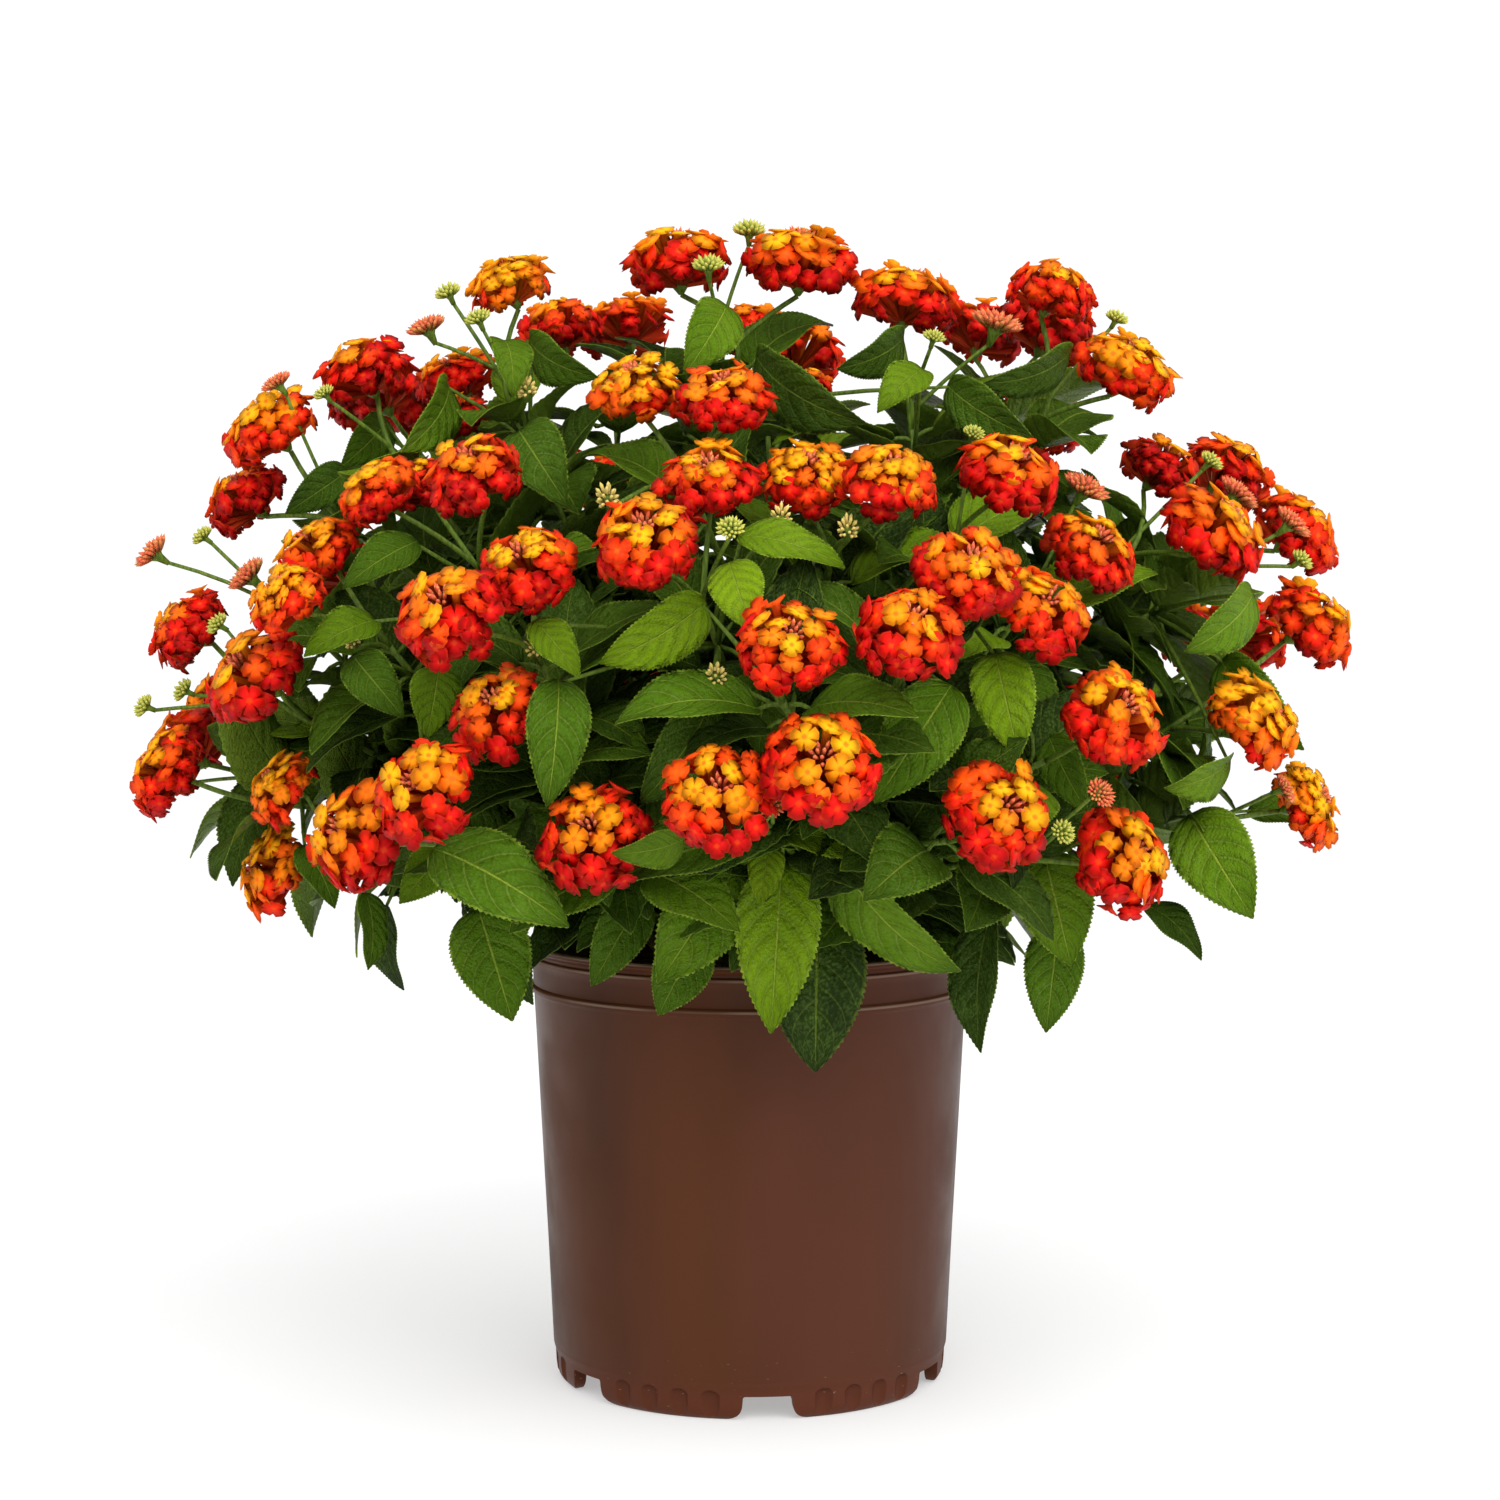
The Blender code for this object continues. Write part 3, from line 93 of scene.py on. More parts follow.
seenSprays = (  # (kind, picture x, y, width in pixels, depth, how red: -1 all yellow to 1 all dark red)
    (
        ("open", 679, 264, 98, 0.42, 0), ("open", 801, 264, 102, 0.4, -0.2), ("bud", 709, 265, 36, 0.25, 0),
        ("bud", 750, 230, 36, 0.4, 0),
    ),
    (("open", 752, 334, 74, 0.8, 0), ("open", 800, 392, 66, 0.72, 0.1)),
    (("open", 639, 391, 84, 0.2, -0.5), ("open", 726, 401, 88, 0.12, 0)),
    (("open", 908, 302, 96, 0.42, -0.1), ("rosy", 999, 322, 58, 0.4, 0), ("bud", 935, 337, 26, 0.3, 0)),
    (
        ("open", 1053, 294, 82, 0.55, -0.2), ("open", 1126, 372, 92, 0.35, -0.4),
        ("bud", 1118, 318, 26, 0.45, 0),
    ),
    (
        ("open", 511, 286, 78, 0.5, -0.55), ("bud", 449, 292, 30, 0.45, 0), ("bud", 479, 318, 30, 0.35, 0),
        ("rosy", 427, 326, 46, 0.45, 0),
    ),
    (("open", 560, 332, 80, 0.78, -0.1), ("open", 628, 328, 82, 0.8, -0.1)),
    (("open", 363, 375, 88, 0.5, 0), ("bud", 325, 393, 24, 0.4, 0)),
    (("open", 272, 430, 90, 0.45, -0.34), ("open", 248, 500, 80, 0.6, 0.21), ("rosy", 277, 382, 36, 0.55, 0)),
    (("open", 460, 380, 76, 0.6, -0.1), ("open", 454, 424, 66, 0.5, 0.1)),
    (("open", 381, 493, 78, 0.22, -0.1), ("open", 421, 487, 64, 0.34, 0.3), ("open", 476, 477, 92, 0.1, 0.1)),
    (("rosy", 152, 552, 46, 0.5, 0), ("bud", 203, 536, 26, 0.45, 0), ("rosy", 247, 575, 50, 0.4, 0)),
    (("open", 320, 554, 84, 0.22, -0.25), ("open", 290, 600, 78, 0.1, -0.3)),
    (
        ("open", 191, 631, 84, 0.5, 0.16), ("open", 256, 680, 104, 0.1, 0.11), ("bud", 218, 624, 28, 0.2, 0),
        ("bud", 184, 690, 28, 0.45, 0), ("bud", 145, 706, 28, 0.38, 0),
    ),
    (("open", 168, 774, 86, 0.5, -0.14),),
    (("open", 285, 788, 74, 0.3, -0.39), ("open", 278, 872, 88, 0.35, -0.44)),
    (("open", 361, 838, 104, 0.0, 0), ("open", 430, 792, 104, 0.0, 0)),
    (("open", 450, 617, 104, 0.0, 0.1), ("open", 528, 570, 94, 0.05, 0)),
    (("open", 502, 714, 94, 0.08, 0.05),),
    (("open", 598, 838, 104, 0.04, 0.15),),
    (("open", 647, 545, 102, 0.03, 0), ("open", 710, 484, 92, 0.12, 0), ("bud", 731, 528, 32, 0.0, 0)),
    (("open", 808, 481, 88, 0.15, -0.25), ("open", 892, 484, 92, 0.1, -0.05)),
    (("open", 791, 648, 100, 0.0, -0.05),),
    (("open", 822, 768, 108, 0.0, -0.05), ("open", 720, 800, 104, 0.0, 0), ("rosy", 773, 803, 38, 0.0, 0)),
    (("open", 909, 634, 102, 0.0, 0.15), ("open", 967, 577, 100, 0.05, 0)),
    (("open", 1040, 615, 98, 0.04, -0.05), ("open", 1091, 554, 90, 0.2, 0), ("rosy", 1088, 487, 54, 0.3, 0)),
    (("open", 1010, 477, 98, 0.14, 0), ("bud", 975, 433, 26, 0.2, 0)),
    (
        ("open", 1161, 471, 80, 0.5, 0.3), ("open", 1212, 534, 104, 0.25, -0.14),
        ("bud", 1212, 461, 28, 0.5, 0),
    ),
    (("rosy", 1240, 493, 50, 0.6, 0), ("rosy", 1294, 522, 46, 0.5, 0), ("bud", 1303, 560, 28, 0.4, 0)),
    (("open", 1311, 627, 94, 0.66, -0.24), ("open", 1251, 723, 98, 0.25, -0.49)),
    (("open", 1305, 805, 78, 0.45, -0.54), ("rosy", 1287, 789, 34, 0.2, 0)),
    (("open", 1114, 720, 102, 0.05, -0.1),),
    (("open", 1121, 860, 104, 0.02, -0.1), ("rosy", 1102, 793, 36, 0.0, 0), ("bud", 1064, 832, 30, 0.0, 0)),
    (("open", 999, 816, 104, 0.0, 0),),
)


def draw(*keys):  # from -1 to 1, looks random, the same each run
    mixed = sum((k + 1.37) * p for k, p in zip(keys, (12.9898, 78.233, 37.719)))
    return 2 * ((math.sin(mixed) * 43758.5453) % 1) - 1


def way(around, above):  # degrees round from the front, degrees above the horizon
    a, e = math.radians(around), math.radians(above)
    return Vector((math.sin(a) * math.cos(e), -math.cos(a) * math.cos(e), math.sin(e)))


def sight(x, y):  # from the eye through a pixel
    right = (x - view["middle"][0]) / view["focalPixels"]
    above = (view["middle"][1] - y) / view["focalPixels"]
    cos, sin = math.cos(view["pitch"]), math.sin(view["pitch"])
    return Vector((right, cos + above * sin, above * cos - sin))


def throughCanopy(x, y, depth):
    ray = sight(x, y)
    for rise in (canopy["radius"].z, canopy["below"]):
        scale = Vector((1 / canopy["radius"].x, 1 / canopy["radius"].y, 1 / rise))
        o = (view["eye"] - up * canopy["waist"]) * scale
        d = ray * scale
        nearest = -o.dot(d) / d.dot(d)
        half = math.sqrt(max(0, nearest**2 - (o.dot(o) - 1) / d.dot(d)))
        place = view["eye"] + ray * (nearest + (2 * depth - 1) * half)
        if place.z >= canopy["waist"]:
            break
    return place


def reachIn(place):  # 1 on the canopy's surface, less inside it
    p = place - up * canopy["waist"]
    rise = canopy["radius"].z if p.z > 0 else canopy["below"]
    return Vector((p.x / canopy["radius"].x, p.y / canopy["radius"].y, p.z / rise)).length


def outwards(place):
    return (place - canopy["core"]).normalized()


def middleOf(places):
    return sum(places, Vector()) / len(places)


def findSprays():
    sprays = []
    for rows in seenSprays:
        heads = []
        for kind, x, y, width, depth, red in rows:
            place = throughCanopy(x, y, depth)
            far = (place - view["eye"]).dot(sight(x, y).normalized())
            radius = width * far / view["focalPixels"] / 2
            heads.append({"kind": kind, "at": place, "radius": radius, "seen": True, "red": red})
        sprays.append({"heads": heads})
    return sprays + [backSpray(k) for k in range(spraySettings["backSprays"])]


def backSpray(k):
    s = spraySettings
    low, high = s["backHeights"]
    height = low + (high - low) * (k + 0.5) / s["backSprays"]
    around = 180 + s["backArc"] * ((k * 0.618 + 0.31) % 1 - 0.5) * (1 - 0.25 * height)
    direction = way(around, math.degrees(math.asin(height)))
    middle = up * canopy["waist"] + direction / reachIn(direction + up * canopy["waist"])
    out = outwards(middle)
    turned = Quaternion(out, math.radians(50 * draw(k, 3))) @ out.cross(up).normalized()
    heads = []
    for sign in (-1, 1):
        across = turned * sign * (s["backApart"] + 2 * draw(k, sign)) * mm
        radius = s["backHead"] * (0.5 + 0.04 * draw(k, sign, 5))
        red = 0.25 * draw(k, sign, 8)
        heads.append({"kind": "open", "at": middle + across, "radius": radius, "seen": False, "red": red})
    if k % 2:
        bud = middle + out.cross(turned) * 20 * mm + out * 4 * mm
        heads.append({"kind": "rosy", "at": bud, "radius": 8 * mm, "seen": False, "red": 0})
    return {"heads": heads}


def settleHeads(sprays):  # apart until they clear, those in the picture only along the line of sight
    s = spraySettings
    heads = [(n, head) for n, spray in enumerate(sprays) for head in spray["heads"]]
    for _ in range(s["rounds"]):
        for i, (sprayA, a) in enumerate(heads):
            for sprayB, b in heads[i + 1 :]:
                apart = b["at"] - a["at"]
                room = 1 if sprayA == sprayB else s["otherSpray"]
                short = (a["radius"] + b["radius"]) * room + s["clear"] - apart.length
                if short <= 0:
                    continue
                for head, sign in ((a, -1), (b, 1)):
                    if head["seen"]:
                        ray = (head["at"] - view["eye"]).normalized()
                        ahead = 1 if apart.dot(ray) * sign >= 0 else -1
                        head["at"] = head["at"] + ray * ahead * short * s["seenStep"]
                    else:
                        head["at"] = head["at"] + apart.normalized() * sign * short * s["otherStep"]
    for spray in sprays:
        for head in spray["heads"]:
            head["faces"] = outwards(head["at"])


def placeTwigEnds(sprays):
    for spray in sprays:
        spray["out"] = out = outwards(middleOf([head["at"] for head in spray["heads"]]))
        nearest = min((head["at"] - canopy["core"]).dot(out) for head in spray["heads"])
        spray["end"] = canopy["core"] + out * (nearest - spraySettings["stand"])


def placeStalks(sprays):  # the first head's from the twig's end, the others' from that stalk
    s = spraySettings
    for spray in sprays:
        for head in spray["heads"]:
            head["neck"] = head["at"] - head["faces"] * head["radius"] * s["neck"][head["kind"]]
        first, *others = spray["heads"]
        first["lead"] = (spray["end"] - spray["bow"]).normalized()
        first["foot"] = spray["end"] + first["lead"] * s["gap"]
        stalk = (first["neck"] - first["foot"]).normalized()
        for k, head in enumerate(others):
            head["foot"] = first["foot"] + stalk * (s["firstBranch"] + k * s["branchStep"])
            head["lead"] = (head["neck"] - head["foot"]).normalized()


stemSettings = {
    "ways": (  # degrees round from the front, degrees above the horizon
        (-62, 20), (-20, 16), (22, 16), (64, 20), (128, 22),
        (-135, 22), (-70, 58), (2, 52), (80, 58), (180, 56),
    ),
    "radius": 2.7 * mm,
    "forkRadius": 2.2 * mm,
    "twigRadius": 1.6 * mm,
    "twigShown": 1.25 * mm,
    "steps": 8,
    "woody": (155 * mm, 235 * mm),  # fully below the first height, not at all above the second
    "crownRadius": 30 * mm,
    "root": 119.3 * mm,  # height of a stem's foot, in its hole
    "soilTop": 151 * mm,
    "forkSpread": 0.42,  # the share of a main stem where its twigs fork off
    "lastFork": 0.02,
    "twigBow": 0.22,
    "bowTries": (0, 10, 20, 30, 42, 56),  # mm
    "bowWays": 8,
    "corners": ((1, -1), (1, 1), (-1, 1), (-1, -1)),  # of a twig's end, as its solid has them
}


def bend(start, leave, end, count):  # a soft curve that leaves start in a direction
    control = start + leave.normalized() * (end - start).length * 0.45
    curve = []
    for i in range(count + 1):
        t = i / count
        curve.append(start * (1 - t) ** 2 + control * 2 * t * (1 - t) + end * t**2)
    return curve


def along(path, share):  # the place at a share of the path's length, and the way on
    lengths = [(b - a).length for a, b in zip(path, path[1:])]
    left = share * sum(lengths)
    for a, b, length in zip(path, path[1:], lengths):
        if left <= length or b is path[-1]:
            return a.lerp(b, min(1, left / length)), (b - a).normalized()
        left -= length


def twigFrame(spray, t):  # the twig's middle at t, its direction, and its level and upright sides
    a, b, c = spray["fork"], spray["bow"], spray["end"]
    place = a * (1 - t) ** 2 + b * 2 * t * (1 - t) + c * t**2
    ahead = ((b - a) * (1 - t) + (c - b) * t).normalized()
    level = (c - a).cross(up)
    level = (level - ahead * level.dot(ahead)).normalized()
    return place, ahead, level, ahead.cross(level)


def pointsOf(node):
    verts = frame["nodes"][node].data.vertices
    tree = KDTree(len(verts))
    for vert in verts:
        tree.insert(vert.co, vert.index)
    tree.balance()
    return tree


def isBuilt(tree, place):  # the solid has a corner there
    return tree.find(place)[2] < 0.05 * mm


def growStems(sprays):
    s = stemSettings
    stems = [{"way": way(*w), "sprays": [], "leaves": [], "cones": []} for w in s["ways"]]
    for spray in sprays:
        direction = outwards(spray["end"])
        max(stems, key=lambda stem: stem["way"].dot(direction))["sprays"].append(spray)
    for n, stem in enumerate(stems, 1):
        stem["node"] = f"leafy_stem_{n:02d}"
        stem["built"] = pointsOf(stem["node"])
        aim = middleOf([spray["end"] for spray in stem["sprays"]])
        flat = Vector((stem["way"].x, stem["way"].y, 0))
        foot = flat * s["crownRadius"] / max(0.6, flat.length)
        crown = foot + up * (s["soilTop"] + 3 * mm)
        last = canopy["core"].lerp(aim, 0.5)
        curve = bend(crown, foot + up * 45 * mm, last, 3)
        stem["main"] = [foot + up * s["root"], *curve]
        ahead = (last - curve[-2]).normalized()
        stem["sprays"].sort(key=lambda spray: ahead.dot((spray["end"] - last).normalized()))
        for k, spray in enumerate(stem["sprays"], 1):
            share = 1 - s["forkSpread"] * (1 - k / len(stem["sprays"])) - s["lastFork"]
            spray["fork"], direction = along(stem["main"], share)
            chord = spray["end"] - spray["fork"]
            spray["bow"] = spray["fork"] + (direction + chord.normalized()) * chord.length * s["twigBow"]
            bowAsBuilt(spray, stem["built"])
    return stems


def bowAsBuilt(spray, built):  # of the ways a twig may bow, the one whose end is in the solid
    s = stemSettings
    bow = spray["bow"]
    ahead = (spray["end"] - spray["fork"]).normalized()
    across = ahead.cross(up).normalized()
    toCorner = s["twigRadius"] * 0.8
    for reach in s["bowTries"]:
        for k in range(s["bowWays"]):
            turned = Quaternion(ahead, math.tau * k / s["bowWays"]) @ across
            spray["bow"] = bow + turned * reach * mm
            place, _, level, upright = twigFrame(spray, 1)
            corners = [place + (level * x + upright * y) * toCorner for x, y in s["corners"]]
            if all(isBuilt(built, corner) for corner in corners):
                return
    spray["bow"] = bow


leafSettings = {
    "petiole": 9 * mm,
    "petioleRadius": 0.85 * mm,
    "length": 52 * mm,
    "aspect": 0.58,
    "thickness": 0.5 * mm,
    "outline": (0.58, 0.98, 0.3573),  # its powers at base and tip, and the most that they give
    "arch": (50, 14),  # degrees, give or take
    "fold": (13, 6),
    "seenWidths": (0.5, 0.68),  # of the length
    "hang": (0.52, 0.5),  # how much a pair droops, and how much less on a twig that goes up
    "topPair": 4 * mm,  # below the twig's end
    "topSize": 0.88,
    "pairStep": 27 * mm,
    "lowerPairs": ((90, 1.04, 0.1), (0, 1.16, 0.3)),  # (turn, size, more droop)
    "lowestJoint": 0.2,
    "seenJoints": (0.3, 0.45, 0.6, 0.75, 0.9),
    "seenTries": (0, 8, -8, 16, -16, 24, -24, 34, -34, 44),  # mm nearer to the eye
    "tries": (  # (degrees round the twig, more droop, size)
        (0, 0, 1), (14, 0, 1), (-14, 0, 1), (0, 0.25, 1), (26, 0.1, 0.94), (-26, 0.1, 0.94), (0, 0.5, 0.9),
        (40, 0, 0.88), (-40, 0, 0.88), (16, 0.6, 0.85), (-16, 0.6, 0.85), (0, -0.3, 0.8),
    ),
}
seenLeaves = (  # (base x, y, tip x, y, width seen, mm before the axis at the base and at the tip, tone: the leaf's own colour and painted shade together, low for leaves that lie in shade)
    (783, 862, 772, 1030, 89, 118, 130, 0.8), (770, 846, 761, 905, 38, 140, 150, 1.0),
    (819, 912, 816, 1072, 100, 100, 106, 0.05), (840, 856, 963, 972, 60, 125, 124, 0.6),
    (788, 835, 891, 865, 40, 142, 150, 0.85), (991, 916, 982, 1050, 50, 92, 98, 0.1),
    (1045, 853, 1072, 965, 80, 110, 122, 0.6), (1060, 925, 1047, 1032, 60, 88, 95, 0.45),
    (1147, 905, 1203, 961, 30, 62, 72, 0.2), (1190, 814, 1253, 917, 80, 70, 92, 0.6),
    (479, 908, 513, 1020, 80, 95, 105, 0.5), (500, 890, 534, 1004, 50, 80, 84, 0.15),
    (366, 892, 369, 970, 30, 70, 76, 0.45), (385, 905, 405, 991, 30, 62, 68, 0.05),
    (434, 848, 571, 928, 80, 110, 122, 0.45), (455, 841, 400, 904, 50, 100, 112, 0.7),
    (304, 845, 336, 909, 38, 60, 72, 0.4), (643, 896, 592, 987, 55, 100, 110, 0.35),
    (738, 867, 660, 982, 88, 116, 124, 0.55), (700, 935, 660, 1014, 60, 98, 102, 0.45),
    (687, 838, 612, 853, 36, 140, 150, 0.6), (279, 767, 234, 885, 54, 20, 42, 0.15),
    (728, 305, 685, 375, 56, 60, 85, 0.6), (757, 356, 867, 423, 60, 85, 112, 0.2),
    (905, 337, 838, 369, 42, 40, 62, 0.25), (924, 369, 879, 412, 42, 70, 90, 0.75),
    (1072, 352, 985, 383, 40, 40, 62, 0.25), (948, 385, 1034, 438, 52, 75, 92, 0.3),
    (505, 340, 514, 398, 42, 40, 62, 0.55), (530, 340, 600, 378, 42, 30, 50, 0.4),
    (450, 385, 403, 452, 46, 30, 62, 0.55), (520, 430, 569, 506, 66, 70, 96, 0.3),
    (389, 421, 341, 468, 42, 0, 20, 0.35), (349, 471, 286, 514, 42, 20, 32, 0.2),
    (707, 602, 599, 664, 62, 162, 172, 0.85), (730, 562, 753, 631, 56, 162, 176, 1.0),
    (739, 535, 844, 567, 38, 156, 166, 0.75), (765, 672, 760, 755, 86, 166, 178, 0.35),
    (714, 700, 640, 805, 64, 160, 164, 0.2), (953, 685, 876, 803, 80, 158, 166, 0.5),
    (560, 679, 548, 806, 66, 148, 158, 0.4), (996, 653, 1020, 757, 66, 150, 162, 0.8),
    (1254, 592, 1184, 653, 48, 80, 100, 0.6), (1222, 660, 1305, 750, 62, 62, 84, 0.5),
    (1232, 760, 1166, 788, 34, 80, 100, 0.65), (1050, 736, 1088, 812, 46, 128, 142, 0.5),
    (1248, 810, 1338, 830, 32, 30, 42, 0.5), (440, 669, 428, 739, 52, 120, 132, 0.7),
    (353, 655, 405, 718, 50, 108, 120, 0.35), (377, 620, 306, 656, 40, 90, 110, 0.65),
    (535, 620, 580, 677, 40, 148, 160, 0.75), (419, 541, 345, 588, 42, 98, 112, 0.4),
)


def leafFrame(leaf, u):  # the midrib at u, and the blade's normal there
    half = leaf["arch"] / 2
    turn = half - leaf["arch"] * u
    reach = leaf["length"] / leaf["arch"]
    ahead = reach * (math.sin(half) - math.sin(turn))
    above = reach * (math.cos(turn) - math.cos(half))
    place = leaf["base"] + leaf["axis"] * ahead + leaf["normal"] * above
    return place, leaf["normal"] * math.cos(turn) - leaf["axis"] * math.sin(turn)


def leafPoint(leaf, u, across, lift=0.0):
    place, normal = leafFrame(leaf, u)
    side = leaf["axis"].cross(leaf["normal"])
    raised = abs(across) * math.sin(leaf["fold"]) + lift
    return place + side * across * math.cos(leaf["fold"]) + normal * raised


def halfWidth(leaf, u):
    atBase, atTip, most = leafSettings["outline"]
    return leaf["width"] / 2 * max(0, u) ** atBase * max(0, 1 - u) ** atTip / most


def newLeaf(base, axis, facing, length, width, key):
    normal = (facing - axis * facing.dot(axis)).normalized()
    leaf = {"base": base, "axis": axis, "normal": normal, "length": length, "width": width, "key": key}
    for n, name in ((4, "arch"), (5, "fold")):
        middle, most = leafSettings[name]
        leaf[name] = math.radians(middle + most * draw(key, n))
    return leaf


def twigLeaf(point, direction, side, size, droop, key):
    axis = (side * 0.8 + direction * 0.42 - up * (droop + 0.12 * draw(key, 1))).normalized()
    length = leafSettings["length"] * size * (1 + 0.1 * draw(key, 2))
    width = length * leafSettings["aspect"] * (1 + 0.08 * draw(key, 3))
    base = point + axis * leafSettings["petiole"] * (0.6 + 0.4 * size)
    return newLeaf(base, axis, direction * 0.8 + up * 0.6, length, width, key)


def atDistance(x, y, front):  # the place in a pixel that is so far before the axis
    ray = sight(x, y)
    return view["eye"] + ray * ((-front - view["eye"].y) / ray.y)


def seenLeaf(row, nearer, key):
    base = atDistance(row[0], row[1], (row[5] + nearer) * mm)
    tip = atDistance(row[2], row[3], (row[6] + nearer) * mm)
    chord = (tip - base).length
    axis = (tip - base) / chord
    length = chord * 1.04
    seen = row[4] * (base - view["eye"]).length / view["focalPixels"]
    narrow, wide = leafSettings["seenWidths"]
    width = min(max(seen, length * narrow), length * wide)
    roll = math.acos(min(1, seen / width)) * (1 if key % 2 else -1)
    facing = Quaternion(axis, roll) @ (view["eye"] - base).normalized()
    return newLeaf(base, axis, facing, length, width, key)


def keepBuilt(stem, leaf, root, tone, fine):
    if not isBuilt(stem["built"], leafPoint(leaf, 1, 0)):
        return False
    leaf.update(root=root, tone=tone, fine=fine)
    stem["leaves"].append(leaf)
    return True


def growSeenLeaves(stems):
    for key, row in enumerate(seenLeaves):
        for nearer in leafSettings["seenTries"]:
            leaf = seenLeaf(row, nearer, key)
            stem = next((s for s in stems if isBuilt(s["built"], leafPoint(leaf, 1, 0))), None)
            if stem:
                joints = [twigFrame(s, t)[0] for s in stem["sprays"] for t in leafSettings["seenJoints"]]
                back = leaf["base"] - leaf["axis"] * 8 * mm
                keepBuilt(stem, leaf, min(joints, key=lambda joint: (joint - back).length), row[7], True)
                break


def pairPlaces(spray):  # (t, turn of the pair, size, droop)
    s = leafSettings
    length = (spray["end"] - spray["fork"]).length
    hang = s["hang"][0] - s["hang"][1] * max(0, spray["out"].z)
    places = [(1 - s["topPair"] / length, 0, s["topSize"], hang)]
    if not spray["heads"][0]["seen"]:
        for k, (turn, size, droop) in enumerate(s["lowerPairs"], 1):
            t = 1 - (s["topPair"] + k * s["pairStep"]) / length
            if t > s["lowestJoint"]:
                places.append((t, turn, size, hang + droop))
    return places


def growPairs(stems):
    for n, stem in enumerate(stems):
        for m, spray in enumerate(stem["sprays"]):
            for t, turn, size, droop in pairPlaces(spray):
                point, ahead, level, _ = twigFrame(spray, t)
                for sign in (1, -1):
                    key = 100 * n + 10 * m + sign + turn
                    tone = 0.5 + 0.35 * draw(key, 6)
                    for spin, more, smaller in leafSettings["tries"]:
                        angle = math.radians(turn + spin + 12 * draw(key))
                        side = Quaternion(ahead, angle) @ level * sign
                        leaf = twigLeaf(point, ahead, side, size * smaller, droop + more, key)
                        if keepBuilt(stem, leaf, point, tone, True):
                            break


fillSettings = {  # the small leaves of the inner canopy, lower down each twig
    "joints": (0.2, 0.32, 0.44, 0.56, 0.68, 0.8, 0.9),
    # their low tones are painted shade: the inner and lower leaves are coloured darker as if in shade
    "inner": {"size": 0.82, "droop": 0.3, "tone": 0.18, "limit": 1.02},  # on the twigs
    "lower": {"size": 1.1, "droop": 0.55, "tone": 0.1, "limit": 1.15},  # on the main stems
    "headRoom": 1.0,  # of a head's radius
    "overPot": {"reach": 92 * mm, "rimFrom": 70 * mm, "rim": 172 * mm, "soil": 157 * mm},
    "mainJoints": (0.3, 0.38, 0.46, 0.54, 0.62, 0.7, 0.8, 0.9),
}


def growFill(stems, sprays):
    heads = [h for s in sprays for h in s["heads"] if h["kind"] == "open"]
    count = 0
    for n, stem in enumerate(stems):
        joints = []
        for k, share in enumerate(fillSettings["mainJoints"]):
            point, ahead = along(stem["main"], share)
            joints.append((point, ahead, ahead.cross(stem["way"].cross(up)).normalized(), 50 + k, "lower"))
        for m, spray in enumerate(stem["sprays"]):
            for j, t in enumerate(fillSettings["joints"]):
                point, ahead, level, _ = twigFrame(spray, t)
                joints.append((point, ahead, level, 60 + 10 * m + j, "inner"))
        for point, ahead, level, place, kind in joints:
            values = fillSettings[kind]
            for k in range(3):
                key = 1000 + 200 * n + place + 0.3 * k
                side = Quaternion(ahead, math.radians(120 * k + 60 * place + 30 * draw(key))) @ level
                size = values["size"] * (1 + 0.25 * draw(key, 7))
                leaf = twigLeaf(point, ahead, side, size, values["droop"] + 0.3 * draw(key, 9), key)
                places = [leafPoint(leaf, u, 0) for u in (0.25, 0.5, 0.75, 1)]
                if isFree(places, heads, values["limit"]):
                    leaf.update(root=point, tone=values["tone"] + 0.2 * draw(key, 6), fine=False)
                    stem["leaves"].append(leaf)
                    count += 1
    return count


def isFree(places, heads, limit):  # limit: of the canopy's surface
    if any(reachIn(p) > limit for p in places):
        return False
    pot = fillSettings["overPot"]
    for place in places:
        away = place.xy.length
        if away < pot["reach"] and place.z < pot["rim" if away > pot["rimFrom"] else "soil"]:
            return False
    return all((p - h["at"]).length > h["radius"] * fillSettings["headRoom"] for p in places for h in heads)


sprays = findSprays()
settleHeads(sprays)
placeTwigEnds(sprays)
stems = growStems(sprays)
placeStalks(sprays)
growSeenLeaves(stems)
growPairs(stems)
builtLeaves = sum(len(stem["leaves"]) for stem in stems)
print("plant grown:", builtLeaves, "leaves as built and", growFill(stems, sprays), "small ones")

# tools for materials: a new node goes to the tree of a node or socket at hand


def srgb(*values):  # 0 to 255, as read off a picture
    shares = [value / 255 for value in values]
    return (*[s / 12.92 if s < 0.0404 else ((s + 0.055) / 1.055) ** 2.4 for s in shares], 1)


def newMaterial(name, roughness, specular):
    material = bpy.data.materials.new(name)
    material.use_nodes = True
    shader = material.node_tree.nodes["Principled BSDF"]
    shader.inputs["Roughness"].default_value = roughness
    shader.inputs["Specular IOR Level"].default_value = specular
    return material, shader


def addNode(near, kind, inputs, **settings):
    tree = near.id_data
    node = tree.nodes.new(kind)
    for key, value in settings.items():
        setattr(node, key, value)
    for socket, value in inputs.items():
        if isinstance(value, bpy.types.NodeSocket):
            tree.links.new(value, node.inputs[socket])
        else:
            node.inputs[socket].default_value = value
    return node


def link(value, shader, socket):
    value.id_data.links.new(value, shader.inputs[socket])


def calc(operation, *values):
    near = next(v for v in values if isinstance(v, bpy.types.NodeSocket))
    return addNode(near, "ShaderNodeMath", dict(enumerate(values)), operation=operation).outputs[0]


def times(first, second):
    return calc("MULTIPLY", first, second)


def blendColour(factor, first, second):
    return addNode(factor, "ShaderNodeMix", {0: factor, 6: first, 7: second}, data_type="RGBA").outputs[2]


def rampColour(factor, stops):
    node = addNode(factor, "ShaderNodeValToRGB", {0: factor})
    elements = node.color_ramp.elements
    elements[0].position, elements[1].position = stops[0][0], stops[-1][0]
    elements[0].color, elements[1].color = stops[0][1], stops[-1][1]
    for position, colour in stops[1:-1]:
        elements.new(position).color = colour
    return node.outputs[0]


